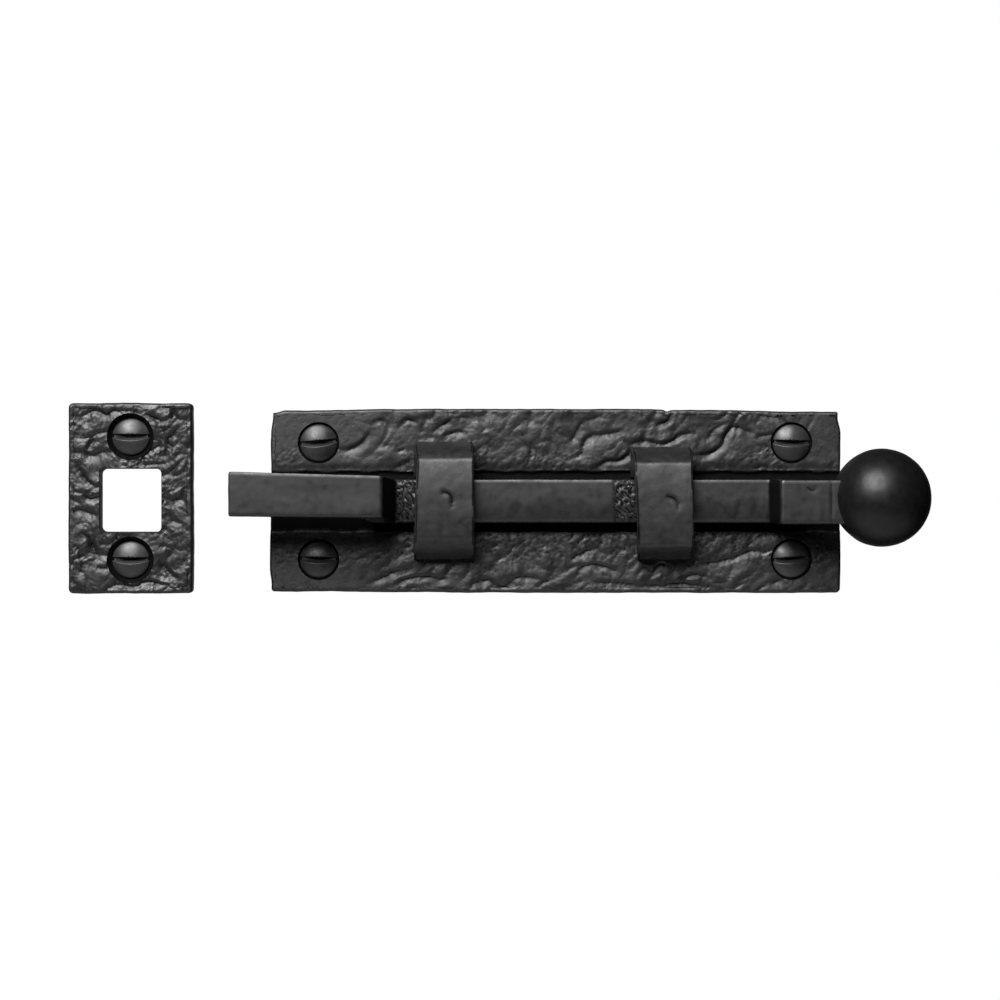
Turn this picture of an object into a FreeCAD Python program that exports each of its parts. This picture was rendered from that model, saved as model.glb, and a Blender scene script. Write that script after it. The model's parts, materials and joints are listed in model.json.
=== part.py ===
import FreeCAD, Part
import math
import os

from FreeCAD import Vector

os.makedirs("parts", exist_ok=True)

# A cast slide bolt with a ball knob, and its separate keep.
# The origin is the centre of the backplate's back face, which lies on the door.
# +X runs along the bolt towards the knob, +Y goes into the door and +Z is up.
# A height is a distance out from the door's face, so it lies at y = -height.
# All sizes are in millimetres.

# Backplate
plate_length = 101.6
plate_width = 32.9
plate_thickness = 3.5
corner_radius = 0.8
edge_chamfer = 0.5
channel_width = 10.5
channel_depth = 1.0

# Staples: cast bridges over the bolt, held by two round tenons peened behind the plate
staple_length = 10.9
front_staple_x = -19.7
rear_staple_x = 18.8
staple_crown = 2.4
staple_lean = 3.4
staple_foot_margin = 1.4
staple_edge_radius = 0.5
staple_corner_radius = 1.2
tenon_radius = 1.6
tenon_gap = 0.1
tenon_web = 0.7
peen_radius = 2.4
peen_depth = 0.7
peen_recess = 0.05

# Bolt bar: a low run under the staples, with the nose and the neck cranked outwards
bar_width = 7.6
bar_thickness = 6.0
bar_edge_chamfer = 0.5
bar_floor_gap = 0.1
bar_side_gap = 0.45
bar_top_gap = 0.4
nose_overhang = 6.1
nose_tip_width = 8.1
nose_tip_shift = 1.2
nose_root_shift = 0.8
nose_slope_run = 2.0
neck_width = 8.1
neck_slope_run = 1.3

# Travel of the bolt each way from where it is stored
retract_travel = 3.1
throw_travel = 13.4

# Ball knob on a spigot in the neck's end
knob_diameter = 17.2
knob_overhang = 6.0
knob_rise = 0.6
knob_plate_gap = 0.55
spigot_radius = 2.0
spigot_depth = 6.0
spigot_gap = 0.02

# Friction spring: a bowed leaf in a pocket under the bar, riveted at one end
pocket_length = 21.0
pocket_width = 4.4
pocket_depth = 1.7
pocket_x = 0.0
spring_width = 3.6
spring_thickness = 0.3
spring_tab = 5.0
spring_end_gap = 0.6
spring_floor_gap = 0.05
rivet_radius = 0.8
rivet_gap = 0.02
rivet_depth = 2.0
rivet_head_radius = 1.4
rivet_head_height = 0.5

# Raised countersunk wood screws with one slot, No. 6 by three quarters of an inch
screw_length = 19.0
screw_shank_radius = 1.75
screw_shoulder_step = 0.2
screw_head_radius = 3.3
screw_dome = 1.0
screw_seat_gap = 0.02
screw_hole_gap = 0.15
screw_slot_width = 0.95
screw_slot_depth = 1.5
screw_thread_pitch = 1.5
screw_thread_share = 0.62
screw_core_share = 0.66
screw_point_slope = 0.6

# Screws of the backplate
plate_screw_end_inset = 8.8
plate_screw_side_inset = 6.1
plate_countersink_radius = 3.7
plate_slot_angles = (5.0, -1.0, -1.0, 5.0)

# Keep: a flat plate with a mouth for the nose
keep_gap = 13.5
keep_length = 22.3
keep_thickness = 3.5
keep_z = 0.5
mouth_length = 10.7
mouth_height = 11.2
mouth_flare = 0.5
mouth_corner_radius = 1.0
mouth_drop = 0.35
keep_web = 0.3
keep_end_margin = 6.1
keep_countersink_radius = 4.2
keep_slot_angles = (0.0, 0.0)

# Heights of the bolt
channel_floor = plate_thickness - channel_depth
run_bottom = channel_floor + bar_floor_gap
run_top = run_bottom + bar_thickness
knob_radius = knob_diameter / 2
knob_height = plate_thickness + knob_plate_gap + knob_radius
arm_bottom = knob_height - bar_thickness / 2
arm_top = knob_height + bar_thickness / 2

# Stations of the bolt along X
plate_end = plate_length / 2
front_foot_x = front_staple_x - staple_length / 2 - retract_travel
nose_root_x = front_foot_x - nose_slope_run
nose_tip_x = -plate_end - nose_overhang
rear_foot_x = rear_staple_x + staple_length / 2 + throw_travel
neck_root_x = rear_foot_x + neck_slope_run
knob_x = plate_end + knob_overhang

# Staples across Z
opening_half = bar_width / 2 + bar_side_gap
opening_top = run_top + bar_top_gap
staple_top = opening_top + staple_crown
tenon_hole_radius = tenon_radius + tenon_gap
tenon_z = channel_width / 2 + tenon_web + tenon_hole_radius
staple_foot_half = tenon_z + tenon_radius + staple_foot_margin
staple_top_half = staple_foot_half - staple_lean

# Screw places
screw_shoulder_radius = screw_shank_radius + screw_shoulder_step
screw_hole_radius = screw_shoulder_radius + screw_hole_gap
plate_screw_x = plate_end - plate_screw_end_inset
plate_screw_z = plate_width / 2 - plate_screw_side_inset
plate_screw_places = (
    (-plate_screw_x, plate_screw_z),
    (plate_screw_x, plate_screw_z),
    (-plate_screw_x, -plate_screw_z),
    (plate_screw_x, -plate_screw_z),
)
keep_x = -plate_end - keep_gap - keep_length / 2
keep_screw_z = mouth_height / 2 + mouth_flare + mouth_drop + keep_web + keep_countersink_radius
keep_width = 2 * (keep_screw_z + keep_end_margin)
keep_screw_places = (
    (keep_x, keep_z + keep_screw_z),
    (keep_x, keep_z - keep_screw_z),
)


def at(x, height, z):
    """Point at a height out from the door's face."""
    return Vector(x, -height, z)


def block(x_range, height_range, z_range):
    """Box between two values along each direction."""
    corner = Vector(x_range[0], -height_range[1], z_range[0])
    size_x = x_range[1] - x_range[0]
    size_y = height_range[1] - height_range[0]
    size_z = z_range[1] - z_range[0]
    return Part.makeBox(size_x, size_y, size_z, corner)


def polygon(points):
    """Flat face inside a closed run of straight edges."""
    return Part.Face(Part.makePolygon(points + [points[0]]))


def drill(x, z, radius, low, high):
    """Cylinder square to the door, between two heights."""
    return Part.makeCylinder(radius, high - low, at(x, high, z), Vector(0, 1, 0))


def cone(x, z, high_radius, low_radius, low, high):
    """Cone square to the door, between two heights."""
    return Part.makeCone(high_radius, low_radius, high - low, at(x, high, z), Vector(0, 1, 0))


def edges_square_to_door(shape):
    """Straight edges that run along Y."""
    found = []
    for edge in shape.Edges:
        run = edge.Vertexes[-1].Point - edge.Vertexes[0].Point
        if math.hypot(run.x, run.z) < 1e-6:
            found.append(edge)
    return found


def edges_at_height(shape, height):
    """Edges that lie in one plane parallel to the door."""
    found = []
    for edge in shape.Edges:
        if all(abs(vertex.Point.y + height) < 1e-6 for vertex in edge.Vertexes):
            found.append(edge)
    return found


def rounded_plate(x_middle, z_middle, length, width, thickness):
    """Plate on the door with rounded corners and a chamfered front rim."""
    x_range = (x_middle - length / 2, x_middle + length / 2)
    z_range = (z_middle - width / 2, z_middle + width / 2)
    plate = block(x_range, (0, thickness), z_range)
    plate = plate.makeFillet(corner_radius, edges_square_to_door(plate))
    return plate.makeChamfer(edge_chamfer, edges_at_height(plate, thickness))


def screw_hole(x, z, countersink_radius, thickness):
    """Clearance hole with a 90 degree countersink, cut a little past both faces."""
    hole = drill(x, z, screw_hole_radius, -1, thickness + 1)
    depth = countersink_radius - screw_hole_radius
    sink = cone(x, z, countersink_radius + 1, screw_hole_radius, thickness - depth, thickness + 1)
    return hole.fuse(sink)


def peen_cone(x, z, gap):
    """Countersink behind the plate that the tenon's end is hammered into."""
    low = -1 if gap == 0 else peen_recess
    slope = (peen_radius - tenon_radius) / peen_depth
    low_radius = peen_radius - gap - slope * low
    return cone(x, z, tenon_radius - gap, low_radius, low, peen_depth)


def make_backplate():
    """Plate with a shallow channel along it, four screw holes and four tenon holes."""
    plate = rounded_plate(0, 0, plate_length, plate_width, plate_thickness)
    channel_x = (-plate_end - 1, plate_end + 1)
    channel_z = (-channel_width / 2, channel_width / 2)
    plate = plate.cut(block(channel_x, (channel_floor, plate_thickness + 1), channel_z))
    for x, z in plate_screw_places:
        plate = plate.cut(screw_hole(x, z, plate_countersink_radius, plate_thickness))
    for x in (front_staple_x, rear_staple_x):
        for z in (-tenon_z, tenon_z):
            plate = plate.cut(drill(x, z, tenon_hole_radius, -1, plate_thickness + 1))
            plate = plate.cut(peen_cone(x, z, 0))
    return plate


def make_staple(x_middle):
    """Bridge with leaning sides, a square opening and two tenons through the plate."""
    x_start = x_middle - staple_length / 2
    along = Vector(staple_length, 0, 0)
    outline = [
        at(x_start, plate_thickness, -staple_foot_half),
        at(x_start, staple_top, -staple_top_half),
        at(x_start, staple_top, staple_top_half),
        at(x_start, plate_thickness, staple_foot_half),
    ]
    bridge = polygon(outline).extrude(along)
    crown_corners = []
    for edge in edges_at_height(bridge, staple_top):
        run = edge.Vertexes[-1].Point - edge.Vertexes[0].Point
        if abs(run.z) < 1e-6:
            crown_corners.append(edge)
    bridge = bridge.makeFillet(staple_corner_radius, crown_corners)
    x_range = (x_start - 1, x_start + staple_length + 1)
    opening_z = (-opening_half, opening_half)
    bridge = bridge.cut(block(x_range, (plate_thickness - 1, opening_top), opening_z))
    crown_edges = []
    for edge in edges_at_height(bridge, staple_top):
        run = edge.Vertexes[-1].Point - edge.Vertexes[0].Point
        if abs(run.x) < 1e-6:
            crown_edges.append(edge)
    bridge = bridge.makeFillet(staple_edge_radius, crown_edges)
    for z in (-tenon_z, tenon_z):
        tenon = drill(x_middle, z, tenon_radius, peen_recess, plate_thickness + 1)
        bridge = bridge.fuse(tenon)
        bridge = bridge.fuse(peen_cone(x_middle, z, tenon_gap / 4))
    return bridge.removeSplitter()


def crank_offset(slope_run):
    """How far a crank's lower corners lie beyond its upper ones, for an even thickness."""
    angle = math.atan2(arm_top - run_top, slope_run)
    return bar_thickness * math.tan(angle / 2)


def corner_wedge(start, end, top, outward):
    """Wedge that chamfers one long top edge of the bar, between two stations."""
    size = bar_edge_chamfer
    sections = []
    for station in (start, end):
        z = station.z
        corners = [
            at(station.x, top + size, z - 2 * size * outward),
            at(station.x, top - 2 * size, z + size * outward),
            at(station.x, top + size, z + size * outward),
        ]
        sections.append(Part.makePolygon(corners + [corners[0]]))
    return Part.makeLoft(sections, True, True)


def make_bolt_bar():
    """Rectangular bar, low between two cranks, with a spring pocket and a spigot hole."""
    front_offset = crank_offset(nose_slope_run)
    rear_offset = crank_offset(neck_slope_run)
    deep = nose_tip_width
    side = [
        at(nose_tip_x, arm_top, -deep),
        at(nose_root_x, arm_top, -deep),
        at(front_foot_x, run_top, -deep),
        at(rear_foot_x, run_top, -deep),
        at(neck_root_x, arm_top, -deep),
        at(knob_x, arm_top, -deep),
        at(knob_x, arm_bottom, -deep),
        at(neck_root_x + rear_offset, arm_bottom, -deep),
        at(rear_foot_x + rear_offset, run_bottom, -deep),
        at(front_foot_x - front_offset, run_bottom, -deep),
        at(nose_root_x - front_offset, arm_bottom, -deep),
        at(nose_tip_x, arm_bottom, -deep),
    ]
    stations = (
        (nose_tip_x, nose_tip_shift, nose_tip_width),
        (nose_root_x, nose_root_shift, bar_width),
        (front_foot_x, 0, bar_width),
        (rear_foot_x, 0, bar_width),
        (neck_root_x, 0, neck_width),
        (knob_x, 0, neck_width),
    )
    upper = []
    lower = []
    for x, shift, width in stations:
        upper.append(at(x, 0, shift + width / 2))
        lower.append(at(x, 0, shift - width / 2))
    body = polygon(side).extrude(Vector(0, 0, 2 * deep))
    plan = polygon(upper + lower[::-1]).extrude(Vector(0, -arm_top - 1, 0))
    bar = body.common(plan)
    for first, last in ((0, 1), (2, 3), (4, 5)):
        top = run_top if first == 2 else arm_top
        for side_edge, outward in ((upper, 1), (lower, -1)):
            bar = bar.cut(corner_wedge(side_edge[first], side_edge[last], top, outward))
    pocket_x_range = (pocket_x - pocket_length / 2, pocket_x + pocket_length / 2)
    pocket_top = run_bottom + pocket_depth
    pocket_z = (-pocket_width / 2, pocket_width / 2)
    bar = bar.cut(block(pocket_x_range, (run_bottom - 1, pocket_top), pocket_z))
    rivet_hole_radius = rivet_radius + rivet_gap
    bar = bar.cut(drill(rivet_x(), 0, rivet_hole_radius, pocket_top - 1, pocket_top + rivet_depth))
    seat = Part.makeSphere(knob_radius + spigot_gap, at(knob_x, knob_height, knob_rise))
    bar = bar.cut(seat)
    spigot_hole_end = knob_x - knob_radius - spigot_depth - spigot_gap
    hole = Part.makeCylinder(
        spigot_radius + spigot_gap,
        knob_x - spigot_hole_end,
        at(spigot_hole_end, knob_height, knob_rise),
        Vector(1, 0, 0),
    )
    return bar.cut(hole)


def rivet_x():
    """Place of the spring's rivet, in the middle of its flat tab."""
    return pocket_x - pocket_length / 2 + spring_end_gap + spring_tab / 2


def make_ball_knob():
    """Ball with a round spigot that goes into the neck."""
    centre = at(knob_x, knob_height, knob_rise)
    ball = Part.makeSphere(knob_radius, centre)
    start = at(knob_x - knob_radius - spigot_depth, knob_height, knob_rise)
    spigot = Part.makeCylinder(spigot_radius, knob_radius + spigot_depth, start, Vector(1, 0, 0))
    return ball.fuse(spigot).removeSplitter()


def make_friction_spring():
    """Leaf with a flat tab under the pocket's roof and a bow that bears on the channel."""
    roof = run_bottom + pocket_depth
    tab_start = pocket_x - pocket_length / 2 + spring_end_gap
    bow_start = tab_start + spring_tab
    bow_end = pocket_x + pocket_length / 2 - spring_end_gap
    bow_middle = (bow_start + bow_end) / 2
    belly = channel_floor + spring_floor_gap
    side = -spring_width / 2
    upper_arc = Part.Arc(
        at(bow_start, roof, side),
        at(bow_middle, belly + spring_thickness, side),
        at(bow_end, roof, side),
    )
    lower_arc = Part.Arc(
        at(bow_end, roof - spring_thickness, side),
        at(bow_middle, belly, side),
        at(bow_start, roof - spring_thickness, side),
    )
    corners = [
        at(tab_start, roof, side),
        at(bow_start, roof, side),
        at(bow_end, roof, side),
        at(bow_end, roof - spring_thickness, side),
        at(bow_start, roof - spring_thickness, side),
        at(tab_start, roof - spring_thickness, side),
    ]
    outline = Part.Wire([
        Part.makeLine(corners[0], corners[1]),
        upper_arc.toShape(),
        Part.makeLine(corners[2], corners[3]),
        lower_arc.toShape(),
        Part.makeLine(corners[4], corners[5]),
        Part.makeLine(corners[5], corners[0]),
    ])
    leaf = Part.Face(outline).extrude(Vector(0, 0, spring_width))
    return leaf.cut(drill(rivet_x(), 0, rivet_radius + rivet_gap, roof - 1, roof + 1))


def make_spring_rivet():
    """Rivet that clamps the leaf's tab to the pocket's roof."""
    roof = run_bottom + pocket_depth
    head_top = roof - spring_thickness
    shank = drill(rivet_x(), 0, rivet_radius, head_top - rivet_head_height, roof + rivet_depth - rivet_gap)
    head = drill(rivet_x(), 0, rivet_head_radius, head_top - rivet_head_height, head_top)
    return shank.fuse(head).removeSplitter()


def thread_outline():
    """Radius and depth points of V threads on a core that tapers to a point."""
    points = []
    depth = screw_length * (1 - screw_thread_share)
    while depth + screw_thread_pitch < screw_length:
        for step, share in ((0, screw_core_share), (screw_thread_pitch / 2, 1)):
            reach = (screw_length - depth - step) * screw_point_slope
            points.append((share * min(screw_shank_radius, reach), depth + step))
        depth += screw_thread_pitch
    return points


def make_screw(x, z, countersink_radius, thickness, slot_angle):
    """Screw turned about its axis, seated in a countersink, with its slot at an angle."""
    rim_depth = countersink_radius - screw_head_radius - screw_seat_gap
    rim_height = thickness - rim_depth
    cone_depth = screw_head_radius - screw_shoulder_radius
    outline = [
        (screw_head_radius, 0),
        (screw_shoulder_radius, cone_depth),
        (screw_shoulder_radius, rim_height),
        (screw_shank_radius, rim_height),
        (screw_shank_radius, screw_length * (1 - screw_thread_share)),
    ]
    outline += thread_outline()
    outline.append((0, screw_length))
    points = [Vector(radius, depth, 0) for radius, depth in outline]
    crown = Vector(0, -screw_dome, 0)
    chord = screw_head_radius ** 2 + screw_dome ** 2
    dome_radius = chord / (2 * screw_dome)
    half_turn = math.asin(screw_head_radius / dome_radius) / 2
    middle = Vector(
        dome_radius * math.sin(half_turn),
        dome_radius * (1 - math.cos(half_turn)) - screw_dome,
        0,
    )
    edges = [Part.Arc(crown, middle, points[0]).toShape()]
    for first, last in zip(points, points[1:]):
        edges.append(Part.makeLine(first, last))
    edges.append(Part.makeLine(points[-1], crown))
    screw = Part.Face(Part.Wire(edges)).revolve(Vector(0, 0, 0), Vector(0, 1, 0), 360)
    reach = screw_head_radius + 1
    slot = Part.makeBox(
        2 * reach,
        screw_slot_depth + 1,
        screw_slot_width,
        Vector(-reach, -screw_dome - 1, -screw_slot_width / 2),
    )
    slot.rotate(Vector(0, 0, 0), Vector(0, 1, 0), -slot_angle)
    screw = screw.cut(slot)
    screw.translate(at(x, rim_height, z))
    return screw


def mouth_outline(height, flare):
    """Rounded rectangle of the keep's mouth at one height."""
    z_middle = keep_z - mouth_drop
    half_x = mouth_length / 2 + flare
    half_z = mouth_height / 2 + flare
    x_range = (keep_x - half_x, keep_x + half_x)
    z_range = (z_middle - half_z, z_middle + half_z)
    slab = block(x_range, (height - 1, height), z_range)
    slab = slab.makeFillet(mouth_corner_radius, edges_square_to_door(slab))
    return Part.Wire(Part.sortEdges(edges_at_height(slab, height))[0])


def make_keep_plate():
    """Flat keep with a flared mouth and two countersunk holes."""
    plate = rounded_plate(keep_x, keep_z, keep_length, keep_width, keep_thickness)
    rims = [mouth_outline(0, 0), mouth_outline(keep_thickness, mouth_flare)]
    plate = plate.cut(Part.makeLoft(rims, True, True))
    for x, z in keep_screw_places:
        plate = plate.cut(screw_hole(x, z, keep_countersink_radius, keep_thickness))
    return plate


def save(name, shape):
    """Write one piece and report its size."""
    solid = shape.Solids[0] if len(shape.Solids) == 1 else shape
    solid.exportStep("parts/" + name + ".step")
    box = solid.BoundBox
    sizes = f"{box.XLength:.2f} x {box.YLength:.2f} x {box.ZLength:.2f}"
    print(name, len(shape.Solids), "solid", sizes, f"{solid.Volume:.1f} mm3", solid.isValid())


save("backplate", make_backplate())
save("front_staple", make_staple(front_staple_x))
save("rear_staple", make_staple(rear_staple_x))
save("bolt_bar", make_bolt_bar())
save("ball_knob", make_ball_knob())
save("friction_spring", make_friction_spring())
save("spring_rivet", make_spring_rivet())
save("keep_plate", make_keep_plate())
for number, (place, angle) in enumerate(zip(plate_screw_places, plate_slot_angles), 1):
    screw = make_screw(*place, plate_countersink_radius, plate_thickness, angle)
    save(f"plate_screw_{number}", screw)
for number, (place, angle) in enumerate(zip(keep_screw_places, keep_slot_angles), 1):
    screw = make_screw(*place, keep_countersink_radius, keep_thickness, angle)
    save(f"keep_screw_{number}", screw)
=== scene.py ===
"""Looks of a cast slide bolt with a ball knob and its separate keep, around the CAD frame.

Meshes are built in millimetres in the row frame, and become metres when they are placed.
X runs along the bolt towards the knob, Y goes into the door and Z is up. A height is a
distance out from the door's face, so it lies at y = -height.
"""

import json
import logging
import math
from dataclasses import dataclass, field
from enum import Enum
from typing import Callable, Sequence

import bmesh
import bpy
from mathutils import Matrix, Vector, kdtree, noise
from mathutils.geometry import interpolate_bezier


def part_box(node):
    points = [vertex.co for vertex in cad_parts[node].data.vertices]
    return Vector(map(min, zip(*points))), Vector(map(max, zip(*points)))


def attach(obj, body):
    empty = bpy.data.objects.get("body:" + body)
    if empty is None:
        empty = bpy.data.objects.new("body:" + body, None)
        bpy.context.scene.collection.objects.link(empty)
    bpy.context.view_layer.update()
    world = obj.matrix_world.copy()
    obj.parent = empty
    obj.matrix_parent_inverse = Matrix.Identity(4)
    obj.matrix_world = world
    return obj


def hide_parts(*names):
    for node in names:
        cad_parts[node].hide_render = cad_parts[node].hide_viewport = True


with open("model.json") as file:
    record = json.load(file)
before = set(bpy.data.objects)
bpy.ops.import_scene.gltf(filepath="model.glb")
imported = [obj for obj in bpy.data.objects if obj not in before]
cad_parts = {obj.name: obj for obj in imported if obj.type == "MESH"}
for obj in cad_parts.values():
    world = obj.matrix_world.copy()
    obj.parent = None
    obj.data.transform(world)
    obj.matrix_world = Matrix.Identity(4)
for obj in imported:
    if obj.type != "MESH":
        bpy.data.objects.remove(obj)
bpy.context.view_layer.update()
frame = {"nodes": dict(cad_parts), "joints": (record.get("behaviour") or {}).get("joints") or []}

MM = 0.001
log = logging.getLogger("slide_bolt")

Mesh = bmesh.types.BMesh
Edges = list[bmesh.types.BMEdge]
Flat = tuple[float, float]


# ---------------------------------------------------------------- geometry helpers


def out(x: float, height: float, z: float) -> Vector:
    """Point at a height out from the door's face."""
    return Vector((x, -height, z))


def mm_box(node: str) -> tuple[Vector, Vector]:
    """Lowest and highest corner of a CAD node, in millimetres."""
    low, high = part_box(node)
    return low / MM, high / MM


def joint_range(name: str) -> tuple[float, float]:
    """Lowest and highest value of a sliding joint, in millimetres."""
    found = next(joint for joint in frame["joints"] if joint["name"] == name)
    low, high = found["range_m"]
    return low / MM, high / MM


def wave(x: float, y: float, z: float, length: float, seed: float = 0.0) -> float:
    """Smooth noise from about -1 to 1.

    Args:
        x, y, z: Place in millimetres.
        length: Size of the lumps in millimetres.
        seed: Shift that gives another pattern.

    Returns:
        The noise at that place.
    """
    return noise.noise(Vector((x / length + seed, y / length + seed, z / length - seed)))


def smooth_step(value: float, low: float, high: float) -> float:
    """0 below low, 1 above high and a smooth rise between them."""
    share = min(1.0, max(0.0, (value - low) / (high - low)))
    return share * share * (3 - 2 * share)


def smooth_line(points: Sequence[Flat], step: float) -> list[Vector]:
    """Smooth curve through a few flat points.

    Args:
        points: Points that the curve passes through.
        step: Distance between the samples.

    Returns:
        Samples along the curve, with z at 0.
    """
    knots = [Vector((a, b, 0)) for a, b in points]
    ends = [2 * knots[0] - knots[1], *knots, 2 * knots[-1] - knots[-2]]
    line = [knots[0]]
    for before, first, last, after in zip(ends, ends[1:], ends[2:], ends[3:]):
        count = max(2, round((last - first).length / step))
        handle_1 = first + (last - before) / 6
        handle_2 = last - (after - first) / 6
        line += interpolate_bezier(first, handle_1, handle_2, last, count + 1)[1:]
    return line


def rounded_path(corners: Sequence[Flat], radii: Sequence[float], closed: bool) -> list[Vector]:
    """Outline with its corners rounded.

    Args:
        corners: Corner points of the outline.
        radii: How far each corner's curve starts before the corner.
        closed: Whether the outline returns to its start.

    Returns:
        Points along the outline, close together in the corners.
    """
    points = [Vector((a, b, 0)) for a, b in corners]
    count = len(points)
    path = [] if closed else [points[0]]
    for index in range(count) if closed else range(1, count - 1):
        here = points[index]
        to_last = (points[index - 1] - here).normalized() * radii[index]
        to_next = (points[(index + 1) % count] - here).normalized() * radii[index]
        start, end = here + to_last, here + to_next
        path += interpolate_bezier(start, start - to_last * 0.55, end - to_next * 0.55, end, 9)
    return path if closed else [*path, points[-1]]


def evenly(path: Sequence[Vector], count: int, closed: bool) -> list[Vector]:
    """A path's points spread evenly along its length.

    Args:
        path: Points along the path.
        count: How many points to return.
        closed: Whether the path returns to its start.

    Returns:
        The evenly spread points.
    """
    line = [*path, path[0]] if closed else list(path)
    reach = [0.0]
    for first, last in zip(line, line[1:]):
        reach.append(reach[-1] + (last - first).length)
    spans = count if closed else count - 1
    spread = []
    index = 0
    for number in range(count):
        target = reach[-1] * number / spans
        while index < len(line) - 2 and reach[index + 1] < target:
            index += 1
        run = max(1e-9, reach[index + 1] - reach[index])
        spread.append(line[index].lerp(line[index + 1], min(1.0, (target - reach[index]) / run)))
    return spread


def extend(mesh: Mesh, edges: Edges, move: Callable[[Vector], Vector]) -> Edges:
    """Extrudes a loop of edges and moves its new points.

    Args:
        mesh: Mesh that holds the loop.
        edges: The loop.
        move: Gives a new point's place from where it was extruded.

    Returns:
        The new loop.
    """
    made = bmesh.ops.extrude_edge_only(mesh, edges=edges)["geom"]
    points = {item for item in made if isinstance(item, bmesh.types.BMVert)}
    for point in points:
        point.co = move(point.co)
    return [item for item in made if isinstance(item, bmesh.types.BMEdge) and points.issuperset(item.verts)]


def open_edges(mesh: Mesh, inside: Callable[[Vector], bool]) -> Edges:
    """Edges of a mesh's open border whose two ends pass a test."""
    return [edge for edge in mesh.edges if edge.is_boundary and all(inside(v.co) for v in edge.verts)]


def face_the_viewer() -> Matrix:
    """Turn that stands a flat mesh up so that it faces out from the door."""
    return Matrix.Rotation(math.radians(90), 3, "X")


def mark_wear_and_shade(mesh: Mesh, sharpness: float, recess: Callable[[Vector], float] | None = None) -> None:
    """Writes how far each point stands out from or sinks among its neighbours to the mesh's wear_and_shade
    attribute; sunk points get painted shade.

    Args:
        mesh: Mesh to mark.
        sharpness: Curvature that counts as fully worn.
        recess: Gives from 0 to 1 how deeply a point lies in a recess, which gets painted shade.
    """
    mesh.normal_update()
    layer = mesh.verts.layers.float.new("wear_and_shade")
    for vert in mesh.verts:
        rise = 0.0
        reach = 1e-9
        for edge in vert.link_edges:
            step = edge.other_vert(vert).co - vert.co
            rise -= step.dot(vert.normal)
            reach += step.length
        sunk = recess(vert.co) if recess else 0.0
        # Points that sink, or lie in a recess, go below 0, which the paint turns into painted shade.
        vert[layer] = min(1.0, max(-1.0, rise / reach / sharpness)) * (1 - sunk) - sunk


def place(
    mesh: Mesh, name: str, body: str, slot: str, nodes: Sequence[str], material: bpy.types.Material
) -> bpy.types.Object:
    """Turns a mesh in millimetres into a piece in metres that rides on a body.

    Args:
        mesh: The finished mesh, which is freed.
        name: Name of the piece.
        body: CAD body that it rides on.
        slot: Material slot of the record; not used.
        nodes: CAD nodes that it stands for.
        material: Its material.

    Returns:
        The new object.
    """
    bmesh.ops.scale(mesh, vec=Vector((MM, MM, MM)), verts=mesh.verts)
    data = bpy.data.meshes.new(name)
    for face in mesh.faces:
        face.smooth = True
    mesh.to_mesh(data)
    mesh.free()
    data.set_sharp_from_angle(angle=math.radians(50))
    data.materials.append(material)
    piece = bpy.data.objects.new(name, data)
    bpy.context.scene.collection.objects.link(piece)
    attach(piece, body)
    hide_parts(*nodes)
    log.info("%s: %d faces on body %s", name, len(data.polygons), body)
    return piece


# ---------------------------------------------------------------- finishes


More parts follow.
